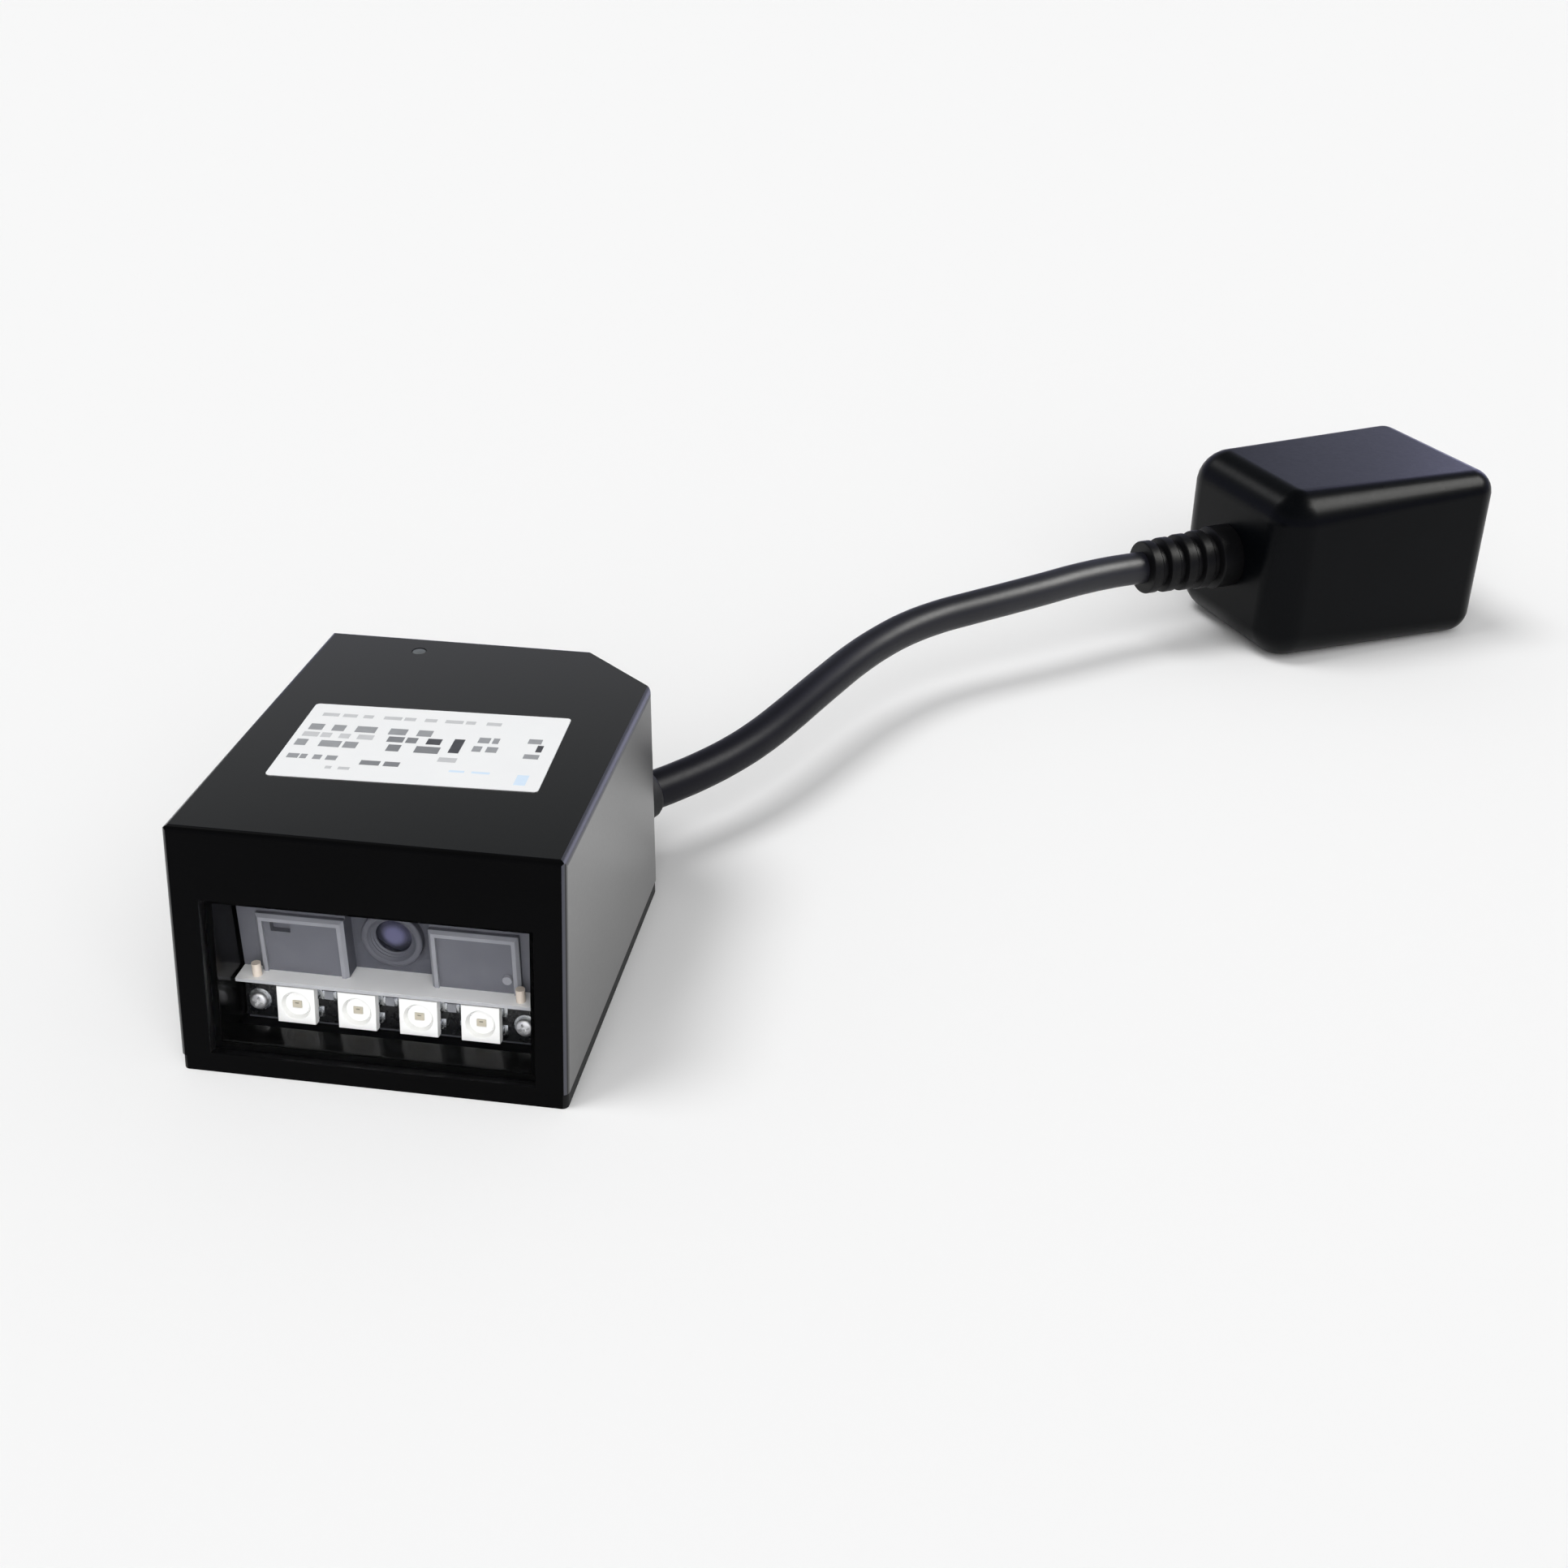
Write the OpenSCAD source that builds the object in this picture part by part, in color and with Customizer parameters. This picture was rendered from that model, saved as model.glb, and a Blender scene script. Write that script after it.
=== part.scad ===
// Fixed barcode reader with a short cable that ends in a moulded socket.
// Millimetres. The reader stands on z = 0 with its window facing -Y.

/* [Housing] */
// Width of the reader, left to right
body_w = 50; // [48:1:70]
// Depth of the reader, front edge to back
body_d = 62; // [60:1:90]
// Height of the reader
body_h = 32.5; // [32:0.5:44]
// How far the top of the front face leans back
front_lean = 5; // [0:0.5:7]
// Corner cut at the cable, along the back
cut_w = 12; // [11:0.5:14]
// Corner cut at the cable, along the side
cut_d = 10.5; // [10:0.5:14]
// Wall of the moulded housing
wall_t = 2; // [1.6:0.1:2.4]
// Thickness of the base plate
base_t = 2; // [1.6:0.1:2.4]
// Rounding of the outer edges
edge_r = 0.8; // [0.3:0.1:1.2]
// Rounding of the two upright edges of the corner cut
cut_r = 3; // [1:0.5:4]

/* [Window] */
// Width of the window opening
window_w = 40; // [38:0.5:42]
// Height of the window opening
window_h = 18.8; // [18:0.1:21]
// Height of the sill over the floor
sill_z = 3.6; // [3.5:0.1:4]
// Thickness of the window pane
pane_t = 1.2; // [1:0.1:1.5]
// Width of the ledge that the pane sits on
pane_ledge = 0.8; // [0.6:0.1:1]
// Depth of the pane's face below the front face
pane_recess = 0.3; // [0.1:0.1:0.5]
// Thickness of the bonding seal behind the pane
seal_t = 0.2; // [0.1:0.1:0.3]

/* [Reading engine] */
// Distance of the engine's front from the front edge of the reader
engine_setback = 10.4; // [10:0.1:12]
// Length of the engine chassis
engine_l = 15.6; // [14:0.1:18]
// Width of the chassis behind its nose
engine_w = 34; // [32:0.5:35]
// Length of the nose that sits in the window tunnel
nose_l = 4; // [3:0.1:5]
// Height of the lens axis over the sill
lens_rise = 11.2; // [11:0.1:12]
// Diameter of the lens barrel
barrel_d = 8; // [7:0.1:8.5]
// Diameter of the front lens
lens_d = 5.2; // [4:0.1:5.6]
// Width of the recess round the lens
lens_recess_w = 10.9; // [10:0.1:12]
// Height of the shelf over the sill
shelf_rise = 5.9; // [5.8:0.1:6.4]
// How far the shelf stands out of the chassis
shelf_l = 3.1; // [2.5:0.1:3.4]

/* [Lighting] */
// Number of lamps in the row
led_count = 4; // [2:1:4]
// Distance between lamps
led_pitch = 8.05; // [7.5:0.05:8.2]
// Side of a square lamp package
led_size = 5; // [4:0.1:5.2]
// Height of a lamp package
led_t = 1.6; // [1.2:0.1:1.8]
// Height of the lamp axis over the sill
led_rise = 2.5; // [2.4:0.1:2.6]

/* [Electronics] */
// Thickness of the circuit boards
board_t = 1.6; // [1:0.1:1.8]
// Thickness of the lamp board
led_board_t = 1.2; // [1:0.1:1.4]
// Depth of the posts that carry the decoder board under the roof
post_h = 5; // [4.6:0.1:5.4]
// Sideways place of the status light, from the middle
status_x = -10.4; // [-14:0.1:-6]
// Distance of the status light from the back face
status_y = 4.4; // [4.4:0.1:5]

/* [Label] */
// Width of the blank type label
label_w = 35; // [20:1:40]
// Depth of the blank type label
label_d = 20; // [10:1:24]

/* [Mounting] */
// Distance between the two mounting threads
mount_spacing = 26; // [24:1:28]
// Place of the mounting threads behind the middle
mount_y = 8; // [6:1:9]
// Bore of the mounting threads
mount_bore_d = 2.5; // [2.4:0.1:2.6]

/* [Cable] */
// Diameter of the cable
cable_d = 5.4; // [5:0.1:6]
// Height of the cable's axis at the reader
cable_z = 11; // [10.5:0.5:12]
// Length of the ribbed strain relief
relief_l = 18; // [17:0.5:19]
// Diameter of the strain relief at the hood
relief_d = 11.5; // [10:0.1:12]

/* [Connector] */
// Length of the connector hood
hood_l = 46; // [42:0.5:52]
// Width of the connector hood
hood_w = 34; // [33:0.5:40]
// Height of the connector hood
hood_h = 32; // [30:0.5:36]
// Rounding of the hood at the cable end
hood_cable_r = 6.5; // [4:0.5:8]
// Rounding of the hood at the socket end
hood_socket_r = 4.5; // [2:0.5:6]
// Distance between the two screw threads of the socket
jack_spacing = 25; // [24.9:0.1:25.1]
// Bore of the screw threads of the socket
jack_bore_d = 2.4; // [2.2:0.1:2.5]

/* [Hidden] */
$fn = 48;

// Clearances
slip = 0.3;              // pieces that drop in by hand
close_fit = 0.1;         // pieces that are located by each other
thread_fit = 0.02;       // screw in its pilot
far = 200;               // longer than any piece, for cutting

// Front face
lean_a = atan(front_lean / body_h);
front_y = -body_d / 2;

// Base plate
base_reveal = 0.15;      // the plate stands back from the housing
rim_h = 1.5;
rim_t = 1.2;

// Tunnel behind the window
tunnel_t = 1.4;
tunnel_floor_t = 1;
tunnel_floor_gap = 4.6;  // floor stops this far before the engine
window_top = sill_z + window_h;
engine_y = front_y + engine_setback;
engine_back = engine_y + engine_l;
tunnel_end = engine_y + nose_l;
pane_w = window_w + 2 * pane_ledge;
pane_h = window_h / cos(lean_a) + 2 * pane_ledge;
pane_mid = (sill_z + window_h / 2) / cos(lean_a);
rebate_depth = pane_recess + pane_t + seal_t;

// Engine
nose_w = window_w - 2 * slip;
engine_top = window_top - slip;
lens_z = sill_z + lens_rise;
shelf_z = sill_z + shelf_rise;
shelf_t = 0.5;
panel_t = 1;
panel_rise = 3.2;        // top of the panels over the lens axis
panel_top = lens_z + panel_rise;
panel_in = 2.7;          // from the panels to the sides of the nose
panel_end = nose_w / 2 - panel_in;
panel_w = panel_end - lens_recess_w / 2;
panel_bevel = 0.4;
panel_rim = 0.9;         // raised border of the panels
panel_sink = 0.4;
notch_in = 3.1;          // small notch in the left panel, from its outer end and its top
notch_drop = 1.8;
notch_w = 2.6;
notch_h = 1.4;
notch_l = 0.9;
peg_in = 1.7;            // small peg on the right panel, from its outer end and the shelf
peg_up = 2.2;
peg_r = 0.6;
peg_l = 0.5;
recess_l = 1.8;
recess_top_t = 1;
pin_r = 0.6;             // two pins that stand on the shelf
pin_h = 1.8;
pin_in = 2.5;
pin_ahead = 1.9;
barrel_l = 9;
barrel_sink = 0.8;       // the barrel lies this far behind the chassis's face
barrel_front = engine_y + barrel_sink;
lens_seat = 0.9;         // the lens lies this far inside the barrel
lens_t = 1.4;
lens_dome_r = 6;
lens_mouth = 0.6;        // the barrel's mouth opens by this much
lens_lip = 0.3;
chamber_w = 25;
chamber_h = 6;
chamber_lap = 1.5;       // the chamber takes in the barrel's end
chamber_y = barrel_front + barrel_l - chamber_lap;
sensor_w = 22;
sensor_h = 3.2;
sensor_t = 2;

// Lamp row, on a board that leans like the front face
led_stand = 3.1;         // lamps' faces before the engine's front
led_y = engine_y - led_stand;
led_z = sill_z + led_rise;
led_board_h = 5.6;
led_board_w = nose_w - 2 * slip;
led_cup_d = 3.9;
led_cup_h = 0.7;
led_cup_draft = 0.4;
resistor = [2, 1.25, 0.5];
resistor_up = 1.3;

// Screws
screw_r = 1;
screw_head_r = 1.9;
screw_head_h = 1;
small_screw_r = 0.7;
small_head_r = 1.2;
small_head_h = 0.9;
cover_screw_l = 8;
engine_screw_l = 6;
sensor_screw_l = 5;
board_screw_l = 5;
led_screw_l = 4;
led_screw_edge = 0.7;    // from a screw's head to the end of the lamp board
led_screw_drop = 0.4;    // below the lamps' axis
led_screw_x = led_board_w / 2 - small_head_r - led_screw_edge;
head_sink = 0.1;
slot_t = 0.4;            // cross recess, and its share of the head
slot_reach = 0.55;
slot_depth = 0.55;
pilot_end = 0.5;         // roof left over the pilots
boss_r = 2.4;
boss_bite = 0.6;         // the bosses run this far into the wall
boss_in = wall_t + boss_r - boss_bite;
boss_x = body_w / 2 - boss_in;
boss_gap = 1;
boss_front_y = tunnel_end + boss_r + boss_gap;
boss_places = [
    [-boss_x, boss_front_y],
    [boss_x, boss_front_y],
    [-boss_x, body_d / 2 - boss_in],
    [boss_x, body_d / 2 - cut_d - 2 * boss_r]];
engine_screw_in = 4;     // from the chassis's sides and back
engine_screw_x = engine_w / 2 - engine_screw_in;
engine_screw_y = engine_back - engine_screw_in;

// Decoder board, hung from posts under the roof
roof_z = body_h - wall_t;
board_z = roof_z - post_h - board_t;
engine_gap = 1.8;        // between the engine and the decoder board over it
engine_back_top = board_z - engine_gap;
sensor_screw_drop = 3;
sensor_screw_z = engine_back_top - sensor_screw_drop;
board_half_w = boss_x - boss_r - slip;
board_front = boss_front_y - boss_r;
board_edge = 1;
board_corner_r = 1;
board_inset = wall_t + board_edge;
post_r = 2;
post_edge = 1;
post_x = board_half_w - post_r - post_edge;
post_front_y = board_front + post_r + post_edge;
post_back_y = body_d / 2 - cut_d - post_r;
chip_t = 1.4;
chip_w = 12;
memory_w = 8;
memory_d = 5.6;
chip_gap = 1.5;
beeper_d = 9;
beeper_h = 4.5;
beeper_hole_r = 1;
beeper_hole_l = 1;
beeper_in = 5;           // from the board's left edge
beeper_x = beeper_in + beeper_d / 2 - board_half_w;
status_place = [status_x, body_d / 2 - status_y];
pipe_r = 1;
pipe_flange_r = 1.4;
pipe_flange_t = 0.8;
status_led_size = [1.6, 0.8, 0.7];

// Flat flexible cable from the sensor board to the decoder board
flex_w = 12;
flex_t = 0.3;
flex_socket_h = 2.2;
flex_socket_d = 4;
flex_socket_w = 15;
sensor_board_back = engine_back + board_t;
flex_bend_r = 2;
flex_drop = 8;           // sensor socket below the decoder board
flex_reach = 5;          // decoder socket behind the sensor board
beeper_gap = 1;
beeper_y = sensor_board_back + flex_reach + flex_socket_d + beeper_d / 2 + beeper_gap;

// Cable entry through the corner cut
cut_l = norm([cut_w, cut_d]);
cut_a = atan2(cut_w, cut_d);
cut_mid = [body_w / 2 - cut_w / 2, body_d / 2 - cut_d / 2];
grommet_nose_l = 4.95;
grommet_neck_r = 3.9;
grommet_flange_r = 5;
grommet_flange_t = 1.4;
grommet_draft = 0.3;
grommet_lip = 0.4;       // wall of the nose at its tip
grommet_round = 0.5;
header_size = [11, 5, 5];
header_x = 5;
header_in = 3;
header_y = post_back_y - header_in;
plug_h = 3.4;
plug_t = 3.6;
plug_w = 9;
wire_r = 0.4;
wire_count = 5;
wire_pitch = 1.6;
wire_gap = 0.4;

// Label
label_t = 0.12;
label_r = 0.6;
label_x = -0.6;
label_y = -1.2;
label_turn = 2.4;        // stuck on by hand, a little askew

// Mounting inserts
insert_r = 2;
insert_l = 5;
insert_boss_r = 3.4;
insert_boss_h = 4;

// Cable route, from the grommet to the strain relief
cable_route = [
    [22.3, 29.5, 11], [25.5, 33.2, 11], [29, 37.6, 11.1], [32.4, 42.6, 11.3], [35.6, 48.4, 11.6],
    [38.5, 54.8, 12], [41.2, 61.4, 12.4], [44, 68.2, 12.8], [47, 74.8, 13.3], [50.5, 81, 13.8],
    [54.6, 86.6, 14.3], [59.4, 91.4, 14.7], [64.8, 95.6, 15], [70.6, 99.9, 15.3], [76.6, 104.5, 15.6],
    [83, 109.6, 15.9], [89.2, 114, 16], [94.4, 117, 16]];
cable_sides = 12;

// Connector hood, lying on the floor
hood_turn = 30;
relief_end = [94.4, 117];
relief_tip_d = 9.6;
relief_ribs = 4;
relief_groove = 0.9;
relief_collar = 4;       // plain length at the hood
rib_share = 0.55;        // crest, then slope, then floor of each rib
slope_share = 0.62;
floor_share = 0.93;
relief_spigot_r = 4.5;
relief_spigot_l = 3;
hood_face = relief_end + (relief_l + thread_fit) * [cos(hood_turn), sin(hood_turn)];

// Nine-way socket
flange_w = 30.8;
flange_h = 12.5;
flange_t = 0.8;
skirt_w = 16.3;
skirt_h = 7.9;
skirt_l = 5.8;
skirt_t = 0.45;
skirt_r = 2;
skirt_slope = 10;
skirt_gap = 1.2;         // room round the skirt for the shell of the mating plug
pocket_w = 20;
pocket_h = 11;
pocket_l = 11;
insulator_back = 6;
insulator_sink = 0.2;
contact_pitch = 2.77;
row_pitch = 2.84;
contact_r = 0.75;
contact_bore_r = 0.5;
contact_sink = 0.3;
contact_back = 9;
jack_flats = 4.75;
jack_l = 4.6;
jack_stem_r = 1.45;
jack_stem_l = 6;
jack_thread_l = 6;

// Points that round one corner of an outline
function unit(v) = v / norm(v);
function corner_arc(a, b, c, r, steps) =
    r <= 0 ? [b] :
    let (
        u = unit(a - b),
        v = unit(c - b),
        half = acos(u * v) / 2,
        centre = b + unit(u + v) * r / sin(half),
        start = b + u * r / tan(half) - centre,
        first = atan2(start.y, start.x),
        turn = sign(cross(b - a, c - b)) * (180 - 2 * half))
    [for (i = [0 : steps]) centre + r * [cos(first + turn * i / steps), sin(first + turn * i / steps)]];

// An outline with each corner rounded by its own radius
function rounded(points, radii, steps = 6) =
    let (n = len(points))
    [for (i = [0 : n - 1])
        each corner_arc(points[(i + n - 1) % n], points[i], points[(i + 1) % n], radii[i], steps)];

// Plan of the body, moved in by an inset
function cut_share(inset) = 1 - inset * (cut_w + cut_d - cut_l) / (cut_w * cut_d);
function plan_points(inset, r, big_r) =
    let (
        x = body_w / 2 - inset,
        y = body_d / 2 - inset,
        cw = cut_w * cut_share(inset),
        cd = cut_d * cut_share(inset))
    rounded([[-x, -y], [x, -y], [x, y - cd], [x - cw, y], [-x, y]], [0, 0, big_r, big_r, r]);

// Side view of the body, with the leaning front
function front_at(z, inset) = front_y + inset / cos(lean_a) + front_lean * z / body_h;
function side_points(inset, r) =
    let (top = body_h - inset)
    rounded(
        [[front_at(-1, inset), -1], [body_d / 2 - inset, -1], [body_d / 2 - inset, top],
         [front_at(top, inset), top]],
        [0, 0, r, r]);

// D-shaped outline of the socket
function d_points(inset) =
    let (
        h = skirt_h - 2 * inset,
        top = skirt_w / 2 - inset,
        bottom = top - h * tan(skirt_slope))
    rounded([[-bottom, -h / 2], [bottom, -h / 2], [top, h / 2], [-top, h / 2]],
        [for (i = [0 : 3]) skirt_r - inset]);

// Places of the nine contacts
function contact_places() = concat(
    [for (i = [-2 : 2]) [i * contact_pitch, row_pitch / 2]],
    [for (i = [-1.5 : 1.5]) [i * contact_pitch, -row_pitch / 2]]);

// Frame of the front face: x across, y up the face, z outwards
module on_front() {
    translate([0, front_y, 0]) rotate([90 - lean_a, 0, 0]) children();
}

// Frame of the lamp board: x across, y up the board, z outwards, origin at the lamps' faces
module on_led_board() {
    translate([0, led_y, led_z]) rotate([90 - lean_a, 0, 0]) children();
}

// Frame of the cable entry: z along the cable, outwards, origin on the corner cut
module on_corner_cut() {
    translate([cut_mid.x, cut_mid.y, cable_z]) rotate([0, 0, cut_a]) rotate([0, 90, 0]) children();
}

// Frame of the hood: x towards the socket, origin at the middle of the cable end
module on_hood() {
    translate([hood_face.x, hood_face.y, hood_h / 2]) rotate([0, 0, hood_turn]) children();
}

// Frame of the socket's flange, sunk in the hood: x to the left, y up, z out of the socket
module on_socket() {
    on_hood() translate([hood_l - skirt_l, 0, 0]) rotate([90, 0, 90]) children();
}

// A block given by its low and high corners
module block(low, high) {
    translate(low) cube(high - low);
}

// The outer form of the body, moved in by an inset
module body_form(inset, r, big_r) {
    intersection() {
        translate([0, 0, -1]) linear_extrude(body_h + 2) polygon(plan_points(inset, r, big_r));
        rotate([90, 0, 90]) linear_extrude(body_w + 2, center = true) polygon(side_points(inset, r));
        rotate([90, 0, 0]) linear_extrude(body_d + 2, center = true)
            polygon(rounded(
                [[inset - body_w / 2, -1], [body_w / 2 - inset, -1],
                 [body_w / 2 - inset, body_h - inset], [inset - body_w / 2, body_h - inset]],
                [0, 0, r, r]));
        on_front() rotate([-90, 0, 0]) translate([0, 0, -far / 2]) linear_extrude(far)
            polygon(rounded(
                [[inset - body_w / 2, inset], [body_w / 2 - inset, inset],
                 [body_w / 2 - inset, far], [inset - body_w / 2, far]],
                [r, r, 0, 0]));
    }
}

// A countersunk screw that points up, its head's face at z = 0
module countersunk_screw(length) {
    difference() {
        union() {
            cylinder(h = screw_head_h, r1 = screw_head_r, r2 = screw_r);
            cylinder(h = length, r = screw_r);
        }
        cross_slot(screw_head_r * slot_reach, screw_head_h * slot_depth);
    }
}

// The hole for a countersunk screw
module countersunk_hole(length, fit) {
    translate([0, 0, -1]) cylinder(h = 1 + head_sink, r = screw_head_r + fit);
    translate([0, 0, head_sink])
        cylinder(h = screw_head_h, r1 = screw_head_r + fit, r2 = screw_r + fit);
    translate([0, 0, head_sink]) cylinder(h = length, r = screw_r + fit);
}

// A small pan-head screw that points up, its head under z = 0
module pan_screw(length) {
    difference() {
        union() {
            translate([0, 0, -small_head_h]) cylinder(h = small_head_h, r = small_head_r);
            cylinder(h = length, r = small_screw_r);
        }
        translate([0, 0, -small_head_h]) cross_slot(small_head_r * slot_reach, small_head_h * slot_depth);
    }
}

// Cross recess of a screw head
module cross_slot(reach, depth) {
    for (turn = [0, 90])
        rotate([0, 0, turn])
            translate([-reach, -slot_t / 2, -1]) cube([2 * reach, slot_t, depth + 1]);
}

// Wall of the tunnel that leads from the window to the engine
module tunnel() {
    intersection() {
        body_form(0, edge_r, cut_r);
        difference() {
            block([-window_w / 2 - tunnel_t, front_y, sill_z - tunnel_floor_t],
                [window_w / 2 + tunnel_t, tunnel_end, window_top + tunnel_t]);
            block([-window_w / 2, engine_y - tunnel_floor_gap, sill_z - far],
                [window_w / 2, tunnel_end + 1, sill_z + 1]);
        }
    }
}

// Moulded housing: roof, walls, window tunnel, screw bosses and board posts
module housing() {
    color("#2b2c2d")
    difference() {
        union() {
            difference() {
                body_form(0, edge_r, cut_r);
                body_form(wall_t, edge_r, cut_r - edge_r);
                block([-far, -far, -far], [far, far, base_t]);
            }
            tunnel();
            intersection() {
                body_form(wall_t / 2, 0, cut_r);
                union() {
                    for (p = boss_places)
                        translate([p.x, p.y, base_t]) cylinder(h = body_h, r = boss_r);
                    for (x = [-post_x, post_x], y = [post_front_y, post_back_y])
                        translate([x, y, roof_z - post_h]) cylinder(h = body_h, r = post_r);
                }
            }
        }
        // window opening and the rebate for its pane
        block([-window_w / 2, front_y - 1, sill_z], [window_w / 2, tunnel_end + 1, window_top]);
        on_front() translate([0, pane_mid, -rebate_depth])
            linear_extrude(far) square([pane_w + 2 * close_fit, pane_h + 2 * close_fit], center = true);
        // pilots for the cover screws and the board screws
        for (p = boss_places)
            translate([p.x, p.y, 0]) cylinder(h = cover_screw_l + 1, r = screw_r + thread_fit);
        for (x = [-post_x, post_x], y = [post_front_y, post_back_y])
            translate([x, y, 0]) cylinder(h = roof_z - pilot_end, r = small_screw_r + thread_fit);
        // status light and cable entry
        translate([status_place.x, status_place.y, 0]) cylinder(h = far, r = pipe_r + close_fit / 2);
        on_corner_cut() translate([0, 0, -wall_t - 1])
            cylinder(h = far, r = grommet_neck_r + close_fit / 2);
    }
}

// Base plate with a locating rim and two bosses for the mounting inserts
module base_plate() {
    color("#242526")
    difference() {
        union() {
            intersection() {
                body_form(base_reveal, edge_r, cut_r);
                block([-far, -far, 0], [far, far, base_t]);
            }
            difference() {
                intersection() {
                    difference() {
                        body_form(wall_t + close_fit, edge_r, cut_r - edge_r);
                        body_form(wall_t + close_fit + rim_t, 0, cut_r - edge_r);
                    }
                    block([-far, tunnel_end + slip, base_t], [far, far, base_t + rim_h]);
                }
                for (p = boss_places)
                    translate([p.x, p.y, 0]) cylinder(h = far, r = boss_r + slip);
            }
            for (side = [-1, 1])
                translate([side * mount_spacing / 2, mount_y, base_t])
                    cylinder(h = insert_boss_h, r = insert_boss_r);
        }
        for (p = boss_places)
            translate([p.x, p.y, 0]) countersunk_hole(far, close_fit / 2);
        for (side = [-1, 1]) {
            translate([side * engine_screw_x, engine_screw_y, 0]) countersunk_hole(far, close_fit / 2);
            translate([side * mount_spacing / 2, mount_y, -1]) cylinder(h = far, r = insert_r + thread_fit);
        }
    }
}

// Four countersunk screws that hold the base plate to the housing
module cover_screws() {
    color("#8d8f92")
    for (p = boss_places)
        translate([p.x, p.y, head_sink]) countersunk_screw(cover_screw_l);
}

// Two brass inserts with the mounting threads
module mount_inserts() {
    color("#c9a85a")
    for (side = [-1, 1])
        translate([side * mount_spacing / 2, mount_y, head_sink])
            difference() {
                cylinder(h = insert_l, r = insert_r);
                translate([0, 0, -1]) cylinder(h = insert_l + 2, r = mount_bore_d / 2);
            }
}

// Clear pane in the front face
module window_pane() {
    color("#9fb0b8", 0.35)
    on_front() translate([0, pane_mid, -pane_recess - pane_t])
        linear_extrude(pane_t) square([pane_w, pane_h], center = true);
}

// Thin bonding frame behind the pane
module window_seal() {
    color("#101112")
    on_front() translate([0, pane_mid, -rebate_depth])
        linear_extrude(seal_t)
            difference() {
                square([pane_w, pane_h], center = true);
                square([window_w, pane_h - 2 * pane_ledge], center = true);
            }
}

// One raised panel beside the lens, with bevelled edges and a border round a sunk field
module front_panel() {
    height = panel_top - shelf_z;
    difference() {
        intersection() {
            rotate([90, 0, 90]) linear_extrude(panel_w)
                polygon([[0, 0], [0, height], [-panel_t + panel_bevel, height],
                    [-panel_t, height - panel_bevel], [-panel_t, 0]]);
            linear_extrude(height)
                polygon([[0, 0], [0, -panel_t + panel_bevel], [panel_bevel, -panel_t],
                    [panel_w - panel_bevel, -panel_t], [panel_w, -panel_t + panel_bevel], [panel_w, 0]]);
        }
        block([panel_rim, -panel_t - 1, -1], [panel_w - panel_rim, panel_sink - panel_t, height - panel_rim]);
    }
}

// Moulded chassis of the reading engine
module engine_chassis() {
    color("#6d6f74")
    difference() {
        union() {
            block([-nose_w / 2, engine_y, base_t], [nose_w / 2, tunnel_end + 2 * slip, engine_top]);
            block([-engine_w / 2, tunnel_end + slip, base_t],
                [engine_w / 2, engine_back, engine_back_top]);
            block([-nose_w / 2, engine_y - shelf_l, shelf_z - shelf_t], [nose_w / 2, engine_y, shelf_z]);
            for (x = [-lens_recess_w / 2 - panel_w, lens_recess_w / 2])
                translate([x, engine_y, shelf_z]) front_panel();
            for (side = [-1, 1])
                translate([side * (nose_w / 2 - pin_in), engine_y - pin_ahead, shelf_z - shelf_t])
                    cylinder(h = shelf_t + pin_h, r = pin_r);
            translate([panel_end - peg_in, engine_y, shelf_z + peg_up]) rotate([90, 0, 0])
                cylinder(h = panel_t - panel_sink + peg_l, r = peg_r);
            // sloped seat of the lamp board
            intersection() {
                on_led_board() translate([0, 0, -led_t - led_board_t - shelf_l])
                    linear_extrude(shelf_l) square([nose_w, far], center = true);
                block([-nose_w / 2, engine_y - shelf_l, base_t], [nose_w / 2, engine_y + 1, shelf_z]);
            }
        }
        // room for the lamp board under the shelf
        intersection() {
            on_led_board() translate([0, 0, -led_t - led_board_t])
                linear_extrude(far) square([nose_w + 1, far], center = true);
            block([-far, -far, -far], [far, far, shelf_z - shelf_t]);
        }
        // notch in the left panel
        translate([notch_in - panel_end, engine_y - panel_t + panel_sink, panel_top - notch_drop])
            block([-notch_w / 2, -1, -notch_h / 2], [notch_w / 2, notch_l, notch_h / 2]);
        // recess, bore and chamber of the lens
        block([-lens_recess_w / 2, engine_y - 1, shelf_z],
            [lens_recess_w / 2, engine_y + recess_l, engine_top - recess_top_t]);
        translate([0, engine_y, lens_z]) rotate([-90, 0, 0])
            cylinder(h = barrel_front + barrel_l + slip - engine_y, r = barrel_d / 2 + thread_fit);
        block([-chamber_w / 2, chamber_y, lens_z - chamber_h / 2],
            [chamber_w / 2, engine_back + 1, lens_z + chamber_h / 2]);
        // pilots for its screws
        for (side = [-1, 1]) {
            translate([side * engine_screw_x, engine_screw_y, 0])
                cylinder(h = engine_screw_l + 1, r = screw_r + thread_fit);
            translate([side * engine_screw_x, engine_back + 1, sensor_screw_z]) rotate([90, 0, 0])
                cylinder(h = sensor_screw_l + 1, r = small_screw_r + thread_fit);
            on_led_board() translate([side * led_screw_x, -led_screw_drop, -led_t - led_screw_l - 1])
                cylinder(h = far, r = small_screw_r + thread_fit);
        }
    }
}

// Threaded barrel that carries the lens
module lens_barrel() {
    color("#1b1b1d")
    translate([0, barrel_front, lens_z]) rotate([-90, 0, 0])
        difference() {
            cylinder(h = barrel_l, r = barrel_d / 2);
            translate([0, 0, lens_seat]) cylinder(h = far, r = lens_d / 2);
            translate([0, 0, -thread_fit])
                cylinder(
                    h = lens_seat + 2 * thread_fit,
                    r1 = lens_d / 2 + lens_mouth,
                    r2 = lens_d / 2 - lens_lip);
        }
}

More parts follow.
